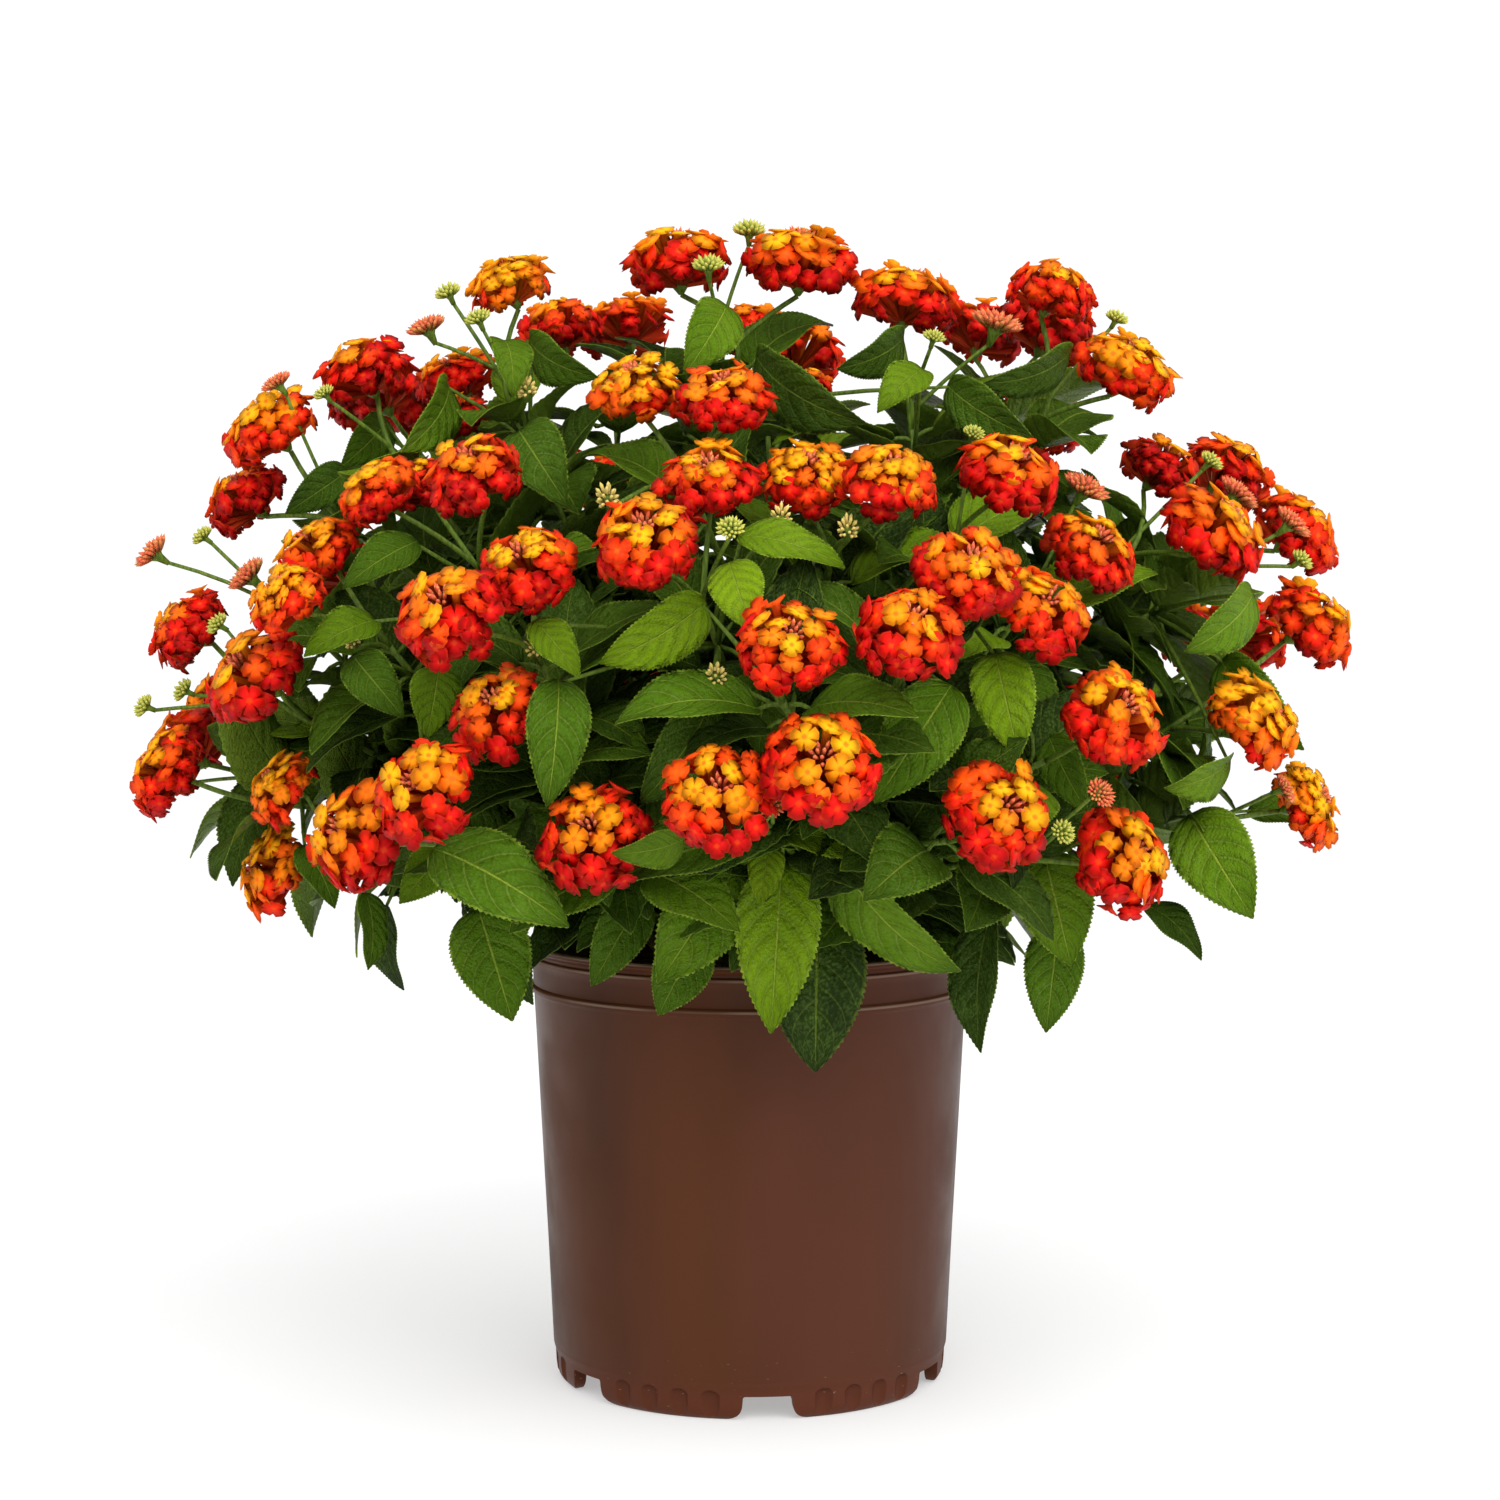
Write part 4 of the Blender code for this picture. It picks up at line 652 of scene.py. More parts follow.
def smooth(value, low, high, outLow=0.0, outHigh=1.0):
    inputs = {0: value, 1: low, 2: high, 3: outLow, 4: outHigh}
    return addNode(value, "ShaderNodeMapRange", inputs, interpolation_type="SMOOTHSTEP").outputs[0]


def attribute(near, name):
    return addNode(near, "ShaderNodeAttribute", {}, attribute_name=name).outputs["Fac"]


def onObject(near):
    return addNode(near, "ShaderNodeTexCoord", {}).outputs["Object"]


def stretch(vector, scale, turn=0.0):
    inputs = {"Vector": vector, "Scale": scale, "Rotation": (0.0, 0.0, turn)}
    return addNode(vector, "ShaderNodeMapping", inputs).outputs[0]


def noiseOn(vector, scale, detail):
    inputs = {"Vector": vector, "Scale": scale, "Detail": detail}
    return addNode(vector, "ShaderNodeTexNoise", inputs).outputs[0]


def addBump(shader, height, strength, distance):
    inputs = {"Height": height, "Strength": strength, "Distance": distance}
    link(addNode(height, "ShaderNodeBump", inputs).outputs[0], shader, "Normal")


# materials

leafColours = {
    "dark": srgb(29, 46, 7),
    "middle": srgb(78, 114, 5),
    "bright": srgb(132, 165, 9),
    # the next colour is for the leaf's down and a painted sheen on the tops of its puffs
    "downSheen": srgb(96, 122, 58),
    "under": srgb(110, 138, 42),
    "rib": srgb(160, 184, 62),
}
leafRelief = {
    "veins": 6.6,  # in the length of the blade
    "veinCurve": 0.15,
    "veinWidth": 0.09,
    "ribWidth": 0.05,
    "quilt": 2.6,
    "net": 6.0,
    "height": 1.2 * mm,
}


def makeLeafMaterial():
    material, shader = newMaterial("leafGreen", 0.42, 0.1)
    uv = addNode(shader, "ShaderNodeUVMap", {}, uv_map="leafUv").outputs[0]
    parts = addNode(uv, "ShaderNodeSeparateXYZ", {0: uv})
    u = parts.outputs[0]
    signed = calc("MULTIPLY_ADD", parts.outputs[1], 2.0, -1.0)
    side = calc("ABSOLUTE", signed)
    half = calc("GREATER_THAN", signed, 0.0)
    bow = leafRelief["veinCurve"]
    curve = calc("MULTIPLY_ADD", times(side, side), bow, times(side, bow))
    phase = calc("MULTIPLY_ADD", half, 0.4, times(calc("SUBTRACT", u, curve), leafRelief["veins"]))
    share = calc("FRACT", phase)
    toVein = calc("SUBTRACT", 0.5, calc("ABSOLUTE", calc("SUBTRACT", share, 0.5)))
    vein = smooth(toVein, 0.0, leafRelief["veinWidth"], 1.0, 0.0)
    rib = smooth(side, 0.012, leafRelief["ribWidth"], 1.0, 0.0)
    cells = stretch(uv, (17.0, 11.0, 1.0), 0.35)
    inputs = {"Vector": cells, "Scale": leafRelief["quilt"], "Randomness": 0.85}
    quilt = addNode(cells, "ShaderNodeTexVoronoi", inputs, feature="SMOOTH_F1").outputs["Distance"]
    puff = calc("SUBTRACT", 1.0, quilt)
    inputs = {"Vector": cells, "Scale": leafRelief["net"]}
    net = addNode(cells, "ShaderNodeTexVoronoi", inputs, feature="F1").outputs["Distance"]
    between = calc("SINE", times(share, math.pi))
    height = calc("MULTIPLY_ADD", between, 0.6, times(puff, 0.75))
    height = calc("MULTIPLY_ADD", net, -0.3, height)
    height = calc("MULTIPLY_ADD", rib, -0.5, height)
    # per-leaf tone: the leaf's own colour and painted shade together, darker for leaves that lie in shade
    tone = attribute(shader, "tone")
    patches = noiseOn(onObject(shader), 55.0, 2.0)
    mixed = calc("MULTIPLY_ADD", patches, 0.36, calc("SUBTRACT", tone, 0.18))
    greens = (leafColours["dark"], leafColours["middle"], leafColours["bright"])
    base = rampColour(mixed, tuple(zip((0.0, 0.5, 1.0), greens)))
    # painted shade: the blade is darkened where its relief is low, in the hollows
    base = blendColour(smooth(height, 0.1, 0.95, 0.38, 0.0), base, leafColours["dark"])
    # the leaf's down and a painted sheen: pale grey-green on the tops of the puffs
    downAndSheen = times(smooth(puff, 0.45, 0.8, 0.0, 0.4), smooth(patches, 0.3, 0.7, 0.3, 1.0))
    base = blendColour(downAndSheen, base, leafColours["downSheen"])
    pale = smooth(tone, 0.05, 0.5, 0.4, 1.0)
    lines = calc("MAXIMUM", times(rib, 0.6), times(vein, 0.22))
    # painted highlight: a pale band along the blade's edge stands in for rim light
    lines = calc("MAXIMUM", lines, smooth(side, 0.94, 1.0, 0.0, 0.4))
    base = blendColour(times(lines, pale), base, leafColours["rib"])
    base = blendColour(times(attribute(shader, "under"), 0.7), base, leafColours["under"])
    link(base, shader, "Base Color")
    link(smooth(puff, 0.3, 0.9, 0.5, 0.3), shader, "Roughness")
    addBump(shader, height, 1.0, leafRelief["height"])
    return material


stemColours = {"green": srgb(104, 128, 40), "shade": srgb(74, 98, 28), "wood": srgb(104, 78, 48)}


def makeStemMaterial():
    material, shader = newMaterial("stemGreen", 0.55, 0.2)
    grain = noiseOn(stretch(onObject(shader), (900.0, 900.0, 160.0)), 1.0, 4.0)
    base = blendColour(smooth(grain, 0.35, 0.65), stemColours["green"], stemColours["shade"])
    wood = times(attribute(shader, "wood"), smooth(grain, 0.2, 0.6, 0.6, 1.0))
    link(blendColour(wood, base, stemColours["wood"]), shader, "Base Color")
    addBump(shader, grain, 0.35, 0.4 * mm)
    return material


petalColours = {
    "ages": (
        (0.0, srgb(255, 172, 10)), (0.2, srgb(252, 142, 6)), (0.4, srgb(250, 92, 4)),
        (0.58, srgb(246, 48, 4)), (0.76, srgb(232, 18, 4)), (1.0, srgb(186, 6, 5)),
    ),
    "eye": srgb(236, 92, 4),
    # the rim colour is a painted highlight on the lobes' edges
    "rim": srgb(255, 128, 30),
    "tube": srgb(240, 96, 44),
}


def makePetalMaterial():
    material, shader = newMaterial("petal", 0.6, 0.12)
    blotch = noiseOn(onObject(shader), 700.0, 2.0)
    age = calc("MULTIPLY_ADD", blotch, 0.16, calc("SUBTRACT", attribute(shader, "age"), 0.08))
    base = rampColour(age, petalColours["ages"])
    reach = attribute(shader, "reach")
    eye = times(smooth(reach, 0.08, 0.3, 0.75, 0.0), smooth(age, 0.5, 0.9, 1.0, 0.4))
    base = blendColour(eye, base, petalColours["eye"])
    tube = attribute(shader, "tube")
    base = blendColour(times(tube, 0.6), base, petalColours["tube"])
    # painted highlight: the lobes' edges are lightened toward orange, a sheen painted in
    rim = times(smooth(reach, 0.8, 1.0, 0.0, 0.07), calc("SUBTRACT", 1.0, tube))
    link(blendColour(rim, base, petalColours["rim"]), shader, "Base Color")
    raised = calc("SUBTRACT", smooth(reach, 0.1, 0.4), smooth(reach, 0.55, 1.0, 0.0, 1.4))
    raised = calc("MULTIPLY_ADD", noiseOn(onObject(shader), 900.0, 2.0), 0.3, raised)
    addBump(shader, raised, 0.35, 0.4 * mm)
    return material


budColours = {
    "green": (srgb(104, 134, 34), srgb(190, 190, 84)),  # foot and tip of a bud
    "rosy": (srgb(150, 62, 34), srgb(222, 98, 66)),
    "straw": srgb(226, 200, 116),
}


def makeBudMaterial():
    material, shader = newMaterial("budSkin", 0.6, 0.2)
    ripe = smooth(attribute(shader, "reach"), 0.3, 0.95)
    green, rosy = (blendColour(ripe, *budColours[name]) for name in ("green", "rosy"))
    age = attribute(shader, "age")
    base = blendColour(calc("MAXIMUM", age, 0.0), green, rosy)
    base = blendColour(calc("MAXIMUM", times(age, -0.8), 0.0), base, budColours["straw"])
    speck = smooth(noiseOn(onObject(shader), 1400.0, 2.0), 0.5, 0.7, 0.0, 0.5)
    link(blendColour(speck, base, budColours["straw"]), shader, "Base Color")
    addBump(shader, noiseOn(onObject(shader), 2200.0, 2.0), 0.3, 0.2 * mm)
    return material


leafMaterial = makeLeafMaterial()
stemMaterial = makeStemMaterial()
petalMaterial = makePetalMaterial()
budMaterial = makeBudMaterial()
print("plant materials made")

# tools for shapes

floatLayers = ("age", "reach", "tube", "tone", "under", "wood", "tooth")


def newShape():
    bm = bmesh.new()
    for name in floatLayers:
        bm.verts.layers.float.new(name)
    bm.loops.layers.uv.new("leafUv")
    return bm


def setValues(bm, verts, values):
    for name, value in values.items():
        layer = bm.verts.layers.float[name]
        for vert in verts:
            vert[layer] = value(vert.co) if callable(value) else value


def joinPart(bm, part):
    mesh = bpy.data.meshes.new("part")
    part.to_mesh(mesh)
    part.free()
    bm.from_mesh(mesh)
    bpy.data.meshes.remove(mesh)


def finishShape(bm, name, materials, replaced):
    bmesh.ops.recalc_face_normals(bm, faces=bm.faces)
    mesh = bpy.data.meshes.new(name)
    bm.to_mesh(mesh)
    bm.free()
    for material in materials:
        mesh.materials.append(material)
    mesh.shade_smooth()
    piece = bpy.data.objects.new(name, mesh)
    bpy.context.scene.collection.objects.link(piece)
    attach(piece, "root")
    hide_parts(replaced)
    return piece


def keepTemplate(bm, name):
    mesh = bpy.data.meshes.new(name)
    bm.to_mesh(mesh)
    bm.free()
    return mesh


def turnedTo(place, direction):  # +Z goes in the direction
    return Matrix.Translation(place) @ direction.to_track_quat("Z", "Y").to_matrix().to_4x4()


def startPart(template, materialIndex, matrix=None):
    part = newShape()
    part.from_mesh(template)
    if matrix:
        bmesh.ops.transform(part, matrix=matrix, verts=part.verts)
    for face in part.faces:
        face.material_index = materialIndex
    return part


def tubeFrames(path, radii):
    frames = []
    turn = before = None
    for i, (place, radius) in enumerate(zip(path, radii)):
        ahead = (path[min(i + 1, len(path) - 1)] - path[max(i - 1, 0)]).normalized()
        turn = ahead.to_track_quat("Z", "Y") if turn is None else before.rotation_difference(ahead) @ turn
        before = ahead
        frames.append(Matrix.Translation(place) @ turn.to_matrix().to_4x4() @ Matrix.Scale(radius, 4))
    return frames


def addTube(bm, path, radii, sides, materialIndex, wood=0.0):  # closed at both ends
    frames = tubeFrames(path, radii)
    part = newShape()
    bmesh.ops.create_circle(part, segments=sides, radius=1, matrix=frames[0])
    start = edges = part.edges[:]
    for low, high in zip(frames, frames[1:]):
        grown = bmesh.ops.extrude_edge_only(part, edges=edges)["geom"]
        ring = [g for g in grown if isinstance(g, bmesh.types.BMVert)]
        edges = [g for g in grown if isinstance(g, bmesh.types.BMEdge)]
        bmesh.ops.transform(part, matrix=high @ low.inverted(), verts=ring)
    for end in (start, edges):
        bmesh.ops.edgeloop_fill(part, edges=end)
    for face in part.faces:
        face.material_index = materialIndex
    setValues(part, part.verts, {"wood": wood})
    joinPart(bm, part)


# leaves

bladeSettings = {
    "fine": {"rows": 12, "columns": 6, "teeth": 4},  # faces along, faces across, cuts in a side edge
    "plain": {"rows": 8, "columns": 4, "teeth": 2},
    "tooth": 0.036,  # of the half width
    "wave": 1.1 * mm,
}


def bladeTemplate(name):  # flat, 0 to 1 along x, -1 to 1 across y, one unit thick
    values = bladeSettings[name]
    bm = newShape()
    bmesh.ops.create_grid(
        bm, x_segments=values["rows"], y_segments=values["columns"], size=1, calc_uvs=True
    )
    sideEdges = [e for e in bm.edges if e.is_boundary and all(abs(v.co.y) > 0.99 for v in e.verts)]
    bmesh.ops.subdivide_edges(bm, edges=sideEdges, cuts=values["teeth"])
    tooth = bm.verts.layers.float["tooth"]
    for sign in (-1, 1):
        edge = sorted((v for v in bm.verts if v.co.y * sign > 0.99), key=lambda v: v.co.x)
        for i, vert in enumerate(edge):
            vert[tooth] = 1.0 if i % 2 else -0.6
    half = Matrix.Translation((0.5, 0, 0)) @ Matrix.Diagonal((0.5, 1, 1, 1))
    bmesh.ops.transform(bm, matrix=half, verts=bm.verts)
    top = bm.faces[:]
    bmesh.ops.recalc_face_normals(bm, faces=top)
    if top[0].normal.z < 0:
        bmesh.ops.reverse_faces(bm, faces=top)
    bmesh.ops.solidify(bm, geom=top, thickness=1)
    under = bm.verts.layers.float["under"]
    for vert in bm.verts:
        vert[under] = 1.0 if abs(vert.co.z) > 0.5 else 0.0
        if not 0.001 <= vert.co.x <= 0.999:
            vert.co.y = 0
    bmesh.ops.remove_doubles(bm, verts=bm.verts, dist=0.0001)
    return keepTemplate(bm, name + "Blade")


def addLeaf(bm, leaf):
    part = startPart(bladeTemplates["fine" if leaf["fine"] else "plain"], 0)
    tooth, tone, under = (part.verts.layers.float[layer] for layer in ("tooth", "tone", "under"))
    phase = 3 * draw(leaf["key"], 11)
    for vert in part.verts:
        u, v, low = vert.co.x, vert.co.y, vert[under]
        across = v * halfWidth(leaf, u) * (1 + bladeSettings["tooth"] * vert[tooth])
        swing = 9 * u + phase + (2 if v > 0 else 0)
        wave = bladeSettings["wave"] * v * v * math.sin(swing) * math.sin(math.pi * u)
        lift = wave - low * leafSettings["thickness"] * (1 - 0.55 * abs(v))
        vert.co = leafPoint(leaf, u + 0.006 * vert[tooth] * abs(v), across, lift)
        vert[tone] = leaf["tone"]
    joinPart(bm, part)
    leave = (leaf["base"] - leaf["root"]) + up * 6 * mm
    stalk = bend(leaf["root"], leave, leaf["base"] + leaf["axis"] * 1.5 * mm, 3)
    addTube(bm, stalk, [leafSettings["petioleRadius"] * share for share in (1.2, 1, 1, 0.7)], 5, 1)


def makeStem(stem):
    s = stemSettings
    bm = newShape()
    for k, cone in enumerate(stem["cones"]):
        path = bend(cone["foot"], cone["faces"], cone["neck"], 4)
        addTube(bm, path, [0.9 * mm] * 5, 5, 1)
        addYoungHead(bm, cone, k + 0.5, (1, 2))
    radii = [*[s["radius"] * share for share in (1, 1, 0.95, 0.9)], s["forkRadius"]]
    low, high = s["woody"]
    addTube(bm, stem["main"], radii, 8, 1, lambda place: max(0, min(1, (high - place.z) / (high - low))))
    for spray in stem["sprays"]:
        path = [twigFrame(spray, t / s["steps"])[0] for t in range(s["steps"] + 1)]
        addTube(bm, path, [s["twigShown"] * (1.15 - 0.03 * i) for i in range(s["steps"] + 1)], 6, 1)
    for leaf in stem["leaves"]:
        addLeaf(bm, leaf)
    materials = (leafMaterial, stemMaterial, budMaterial)
    finishShape(bm, stem["node"].replace("_", "-"), materials, stem["node"])


# flower heads

headSettings = {
    "rise": 0.78,
    "liftedTo": 0.2,  # heads turn up a little to the light
    "skin": 1.02,  # where the limbs lie, as a share of the head's radius
    "rings": ((27, 5), (50, 9), (73, 13), (95, 12), (114, 9)),  # degrees from the middle, florets
    "ages": (0.16, 0.46, 0.79, 0.93, 0.98),
    "ageDown": 0.16,  # the lower side of a head is older
    "limbs": (0.285, 0.3, 0.305, 0.285, 0.27),  # a limb's radius, as a share of the head's
    "outward": (0.6, 0.6, 0.7, 0.85, 1.0),  # the rest of a floret's way is the head's own
    "scatter": 0.34,
    "receptacle": 0.45,
    "receptacleRadius": 0.16,
    "buds": 13,
    "budRadius": 0.95 * mm,
    "stalk": 0.9 * mm,
}


def limbTemplate(name, lobes, cup):  # a floret: a lobed limb 1 across its radius, a funnel and a tube
    bm = newShape()
    bmesh.ops.create_circle(bm, cap_ends=True, segments=lobes * 4, radius=1)
    middle = bm.faces[:]
    bmesh.ops.inset_region(bm, faces=middle, thickness=0.6)
    centre = bmesh.ops.poke(bm, faces=middle)["verts"]
    reach, tube = bm.verts.layers.float["reach"], bm.verts.layers.float["tube"]
    for vert in bm.verts:
        far = vert.co.length
        turn = math.atan2(vert.co.y, vert.co.x)
        lobe = abs(math.cos(lobes * turn / 2)) ** 0.5
        if far > 0.8:
            turn += 0.16 * math.sin(lobes * turn)
            wide = 0.71 + 0.28 * lobe
            ruffle = 0.05 * math.sin(3 * turn + 1)
            high = cup - 0.2 - 0.1 * (1 - lobe) + ruffle
            vert.co = Vector((wide * math.cos(turn), wide * math.sin(turn), high))
            vert[reach] = 1.0
        elif far > 0.2:
            vert.co *= (0.5 + 0.14 * lobe) / far
            vert.co.z = 0.08 + 0.1 * lobe
            vert[reach] = 0.5
    centre[0].co.z = -0.12
    rim = [e for e in bm.edges if e.is_boundary]
    for scale, drop, value in ((0.36, -0.4, 0.6), (0.5, -1.2, 1.0)):
        grown = bmesh.ops.extrude_edge_only(bm, edges=rim)["geom"]
        verts = [g for g in grown if isinstance(g, bmesh.types.BMVert)]
        rim = [g for g in grown if isinstance(g, bmesh.types.BMEdge)]
        bmesh.ops.scale(bm, vec=(scale, scale, 0), verts=verts)
        bmesh.ops.translate(bm, vec=(0, 0, drop), verts=verts)
        for vert in verts:
            vert[tube] = value
    bmesh.ops.edgeloop_fill(bm, edges=rim)
    return keepTemplate(bm, name)


def budTemplate(name):  # a club, foot at 0, tip at 1
    bm = newShape()
    bmesh.ops.create_icosphere(bm, subdivisions=1, radius=0.5)
    reach = bm.verts.layers.float["reach"]
    for vert in bm.verts:
        high = vert.co.z + 0.5
        vert.co.x *= 0.35 + 0.75 * high
        vert.co.y *= 0.35 + 0.75 * high
        vert.co.z = high
        vert[reach] = high
    return keepTemplate(bm, name)


def addFloret(bm, template, place, facing, radius, spin, root, age):
    matrix = turnedTo(place, facing) @ Matrix.Rotation(spin, 4, "Z") @ Matrix.Scale(radius, 4)
    part = startPart(template, 1, matrix)
    tube = part.verts.layers.float["tube"]
    feet = [v for v in part.verts if v[tube] > 0.9]
    bmesh.ops.translate(part, vec=root - middleOf([v.co for v in feet]), verts=feet)
    setValues(part, part.verts, {"age": max(0.0, min(1.0, age))})
    joinPart(bm, part)


def addBud(bm, foot, tip, radius, age, materialIndex):
    shape = Matrix.Diagonal((2 * radius, 2 * radius, (tip - foot).length, 1))
    part = startPart(budClub, materialIndex, turnedTo(foot, tip - foot) @ shape)
    setValues(part, part.verts, {"age": age})
    joinPart(bm, part)


def headFrame(head):  # gives the function that places a point on the head's dome
    turn = (head["faces"] + up * headSettings["liftedTo"]).to_track_quat("Z", "Y").to_matrix()
    return lambda polar, around, radius, rise: head["at"] + turn @ Vector(
        (
            radius * math.sin(polar) * math.cos(around),
            radius * math.sin(polar) * math.sin(around),
            radius * rise * math.cos(polar),
        )
    )


def addHead(bm, head, key):
    s = headSettings
    onDome = headFrame(head)
    r, rise = head["radius"], s["rise"]
    base = head["at"] - head["faces"] * r * s["receptacle"]
    for ring, (degrees, count) in enumerate(s["rings"]):
        shift = math.tau * draw(key, ring, 1)
        for k in range(count):
            seed = key + 0.37 * k + 7 * ring
            if ring > 2 and draw(seed, 5) < -0.5:
                continue
            polar = math.radians(degrees + 6 * draw(seed, 2))
            around = shift + math.tau * (k + 0.3 * draw(seed, 3)) / count
            place = onDome(polar, around, r * (s["skin"] + 0.1 * draw(seed, 4)), rise)
            ahead = (onDome(polar, around, 2 * r, rise * 1.35) - head["at"]).normalized()
            ahead = head["faces"].lerp(ahead, s["outward"][ring])
            scatter = Vector((draw(seed, 6), draw(seed, 7), draw(seed, 8))) * s["scatter"]
            root = base + (place - base).normalized() * r * s["receptacleRadius"]
            age = s["ages"][ring] + head["red"] * (0.5 if ring == 0 else 1) + 0.22 * draw(seed, 9)
            age -= s["ageDown"] * (place - head["at"]).normalized().z
            template = limbTemplates[int(2 + 2 * draw(seed, 10)) % 4]
            size = r * s["limbs"][ring] * (1 + 0.12 * draw(seed, 12))
            spin = math.pi * draw(seed, 11)
            addFloret(bm, template, place, (ahead + scatter).normalized(), size, spin, root, age)
    for k in range(s["buds"]):
        polar = math.radians(3 + 19 * math.sqrt(k / s["buds"]))
        around = 2.4 * k + key
        foot = onDome(polar * 0.6, around, r * 0.5, rise)
        tip = onDome(polar, around, r * (0.92 + 0.06 * draw(key, k, 13)), rise)
        addBud(bm, foot, tip, s["budRadius"], 1.0, 2)
    tip = base + head["faces"] * r * 0.12
    addTube(bm, [head["neck"], base, tip], [s["stalk"], r * 0.17, r * 0.12], 8, 0)


seedCones = (  # (picture x, y, width in pixels, mm before the axis)
    (527, 388, 24, 60), (608, 497, 26, 128), (782, 517, 24, 150), (849, 528, 24, 150),
    (535, 647, 22, 150), (717, 675, 24, 168), (1017, 700, 20, 150), (352, 640, 20, 100),
)
youngSettings = {
    "bud": {"count": 40, "spread": 92, "length": 0.75, "thick": 0.14, "age": 0.0, "rise": 0.7},
    "rosy": {"count": 52, "spread": 84, "length": 0.72, "thick": 0.11, "age": 1.0, "rise": 0.45},
    "cone": {"count": 26, "spread": 120, "length": 0.6, "thick": 0.2, "age": -1.0, "rise": 1.4},
}


def addYoungHead(bm, head, key, slots=(0, 2)):  # a cup of small buds, tight and green or open and rosy
    values = youngSettings[head["kind"]]
    onDome = headFrame(head)
    r, rise = head["radius"], values["rise"]
    base = head["at"] - head["faces"] * r * headSettings["receptacle"]
    for k in range(values["count"]):
        share = math.sqrt((k + 0.5) / values["count"])
        polar = math.radians(values["spread"]) * share
        around = 2.39996 * k + key
        tip = onDome(polar, around, r * (0.97 + 0.06 * draw(key, k, 2)), rise)
        age = values["age"] * (1 + 0.3 * draw(key, k))
        addBud(bm, tip.lerp(base, values["length"]), tip, r * values["thick"], age, slots[1])
    cup = [head["neck"] - head["faces"] * r * 0.1, base, onDome(0, 0, r * 0.05, rise)]
    addTube(bm, cup, [headSettings["stalk"], r * 0.2, r * 0.5], 9, slots[0])


def placeCones():  # each on a stalk from the nearest twig
    for x, y, width, front in seedCones:
        place = atDistance(x, y, front * mm)
        out = outwards(place)
        joints = [twigFrame(s, t)[0] for s in sprays for t in (0.5, 0.65, 0.8, 0.95)]
        foot = min(joints, key=lambda joint: (joint - place + out * 25 * mm).length)
        radius = width * (place - view["eye"]).length / view["focalPixels"] / 2
        faces = (out + up * 0.6).normalized()
        cone = {"kind": "cone", "at": place, "radius": radius, "faces": faces, "foot": foot}
        cone["neck"] = place - faces * radius
        nearest = min(sprays, key=lambda spray: (twigFrame(spray, 0.8)[0] - foot).length)
        next(stem for stem in stems if nearest in stem["sprays"])["cones"].append(cone)


def makeSpray(n, spray):
    bm = newShape()
    for m, head in enumerate(spray["heads"]):
        key = 10 * n + m + 0.5
        isOpen = head["kind"] == "open"
        path = bend(head["foot"], head["lead"] + head["faces"] * 0.3, head["neck"], 6)
        width = (1 if isOpen else 0.75) * mm
        addTube(bm, path, [width * (1.1 - 0.03 * i) for i in range(7)], 6, 0)
        addThis = addHead if isOpen else addYoungHead
        addThis(bm, head, key)
    materials = (stemMaterial, petalMaterial, budMaterial)
    finishShape(bm, f"spray-{n:02d}", materials, f"spray_{n:02d}")


limbTemplates = (
    limbTemplate("flatFour", 4, 0.0),
    limbTemplate("cuppedFour", 4, 0.14),
    limbTemplate("curledFour", 4, -0.14),
    limbTemplate("flatFive", 5, -0.04),
)
budClub = budTemplate("budClub")
for n, spray in enumerate(sprays, 1):
    makeSpray(n, spray)
print("sprays made")
bladeTemplates = {name: bladeTemplate(name) for name in ("fine", "plain")}
placeCones()
for stem in stems:
    makeStem(stem)
print("leafy stems made")

# pot

potSettings = {
    "height": 166 * mm,
    "lip": 85 * mm,  # a radius, as are the next four
    "wallTop": 82 * mm,
    "wallFoot": 75 * mm,
    "inFoot": 70.2 * mm,  # inside, below the step
    "contact": 71.5 * mm,  # where it stands on the floor
    "wall": 1.8 * mm,
    "underside": 6.5 * mm,
    "foot": 12.5 * mm,
    "step": 14.5 * mm,
    "footShape": (  # (mm out from the foot of the wall, mm up)
        (-2.2, 1.4), (-1.3, 3), (-0.9, 6), (-0.7, 10), (-0.5, 11.3), (-0.1, 12.5), (0.05, 13.3), (0, 13.7),
        (0.12, 14.2),
    ),
    "rimShape": (  # (mm out from the top of the wall, mm below the pot's top)
        (0, 19.2), (0.3, 18.6), (1.1, 18), (1.4, 16.9), (1.1, 15.8), (0.45, 15.2), (0.3, 13.5), (0.6, 9),
        (0.9, 7), (1.5, 6.3), (1.7, 5.5), (1.5, 4.7), (0.8, 4.1), (0.9, 3.2), (1.8, 2.4),
    ),
    "steps": 120,
    "notches": 6,
    "firstNotch": 5.0,  # degrees from the front
    "notchHeight": 9 * mm,
    "notchTop": 18 * mm,
    "notchFloor": 20 * mm,
    "notchReach": 15 * mm,
    "padCorner": 5 * mm,  # rounds the notch where it meets the floor
    "flutes": (-13.8, -4.6, 4.6, 13.8),  # degrees from the middle between two notches
    "fluteRadius": 4.6 * mm,
    "fluteDepth": 2 * mm,
    "fluteHalf": 6 * mm,  # half of its straight height
    "fluteMiddle": 2.4 * mm,
    "footInset": 0.8 * mm,  # of the foot's side from the wall's radius
    "crests": (149.4 * mm, 160.7 * mm, 165.6 * mm),  # where the rings and the lip get a painted highlight, a pale line
}
potColours = {
    "wall": srgb(80, 43, 21),
    "dark": srgb(62, 34, 18),
    "plum": srgb(84, 46, 33),
    "foot": srgb(84, 42, 26),
    "scuffAndHighlight": srgb(160, 134, 116),
}


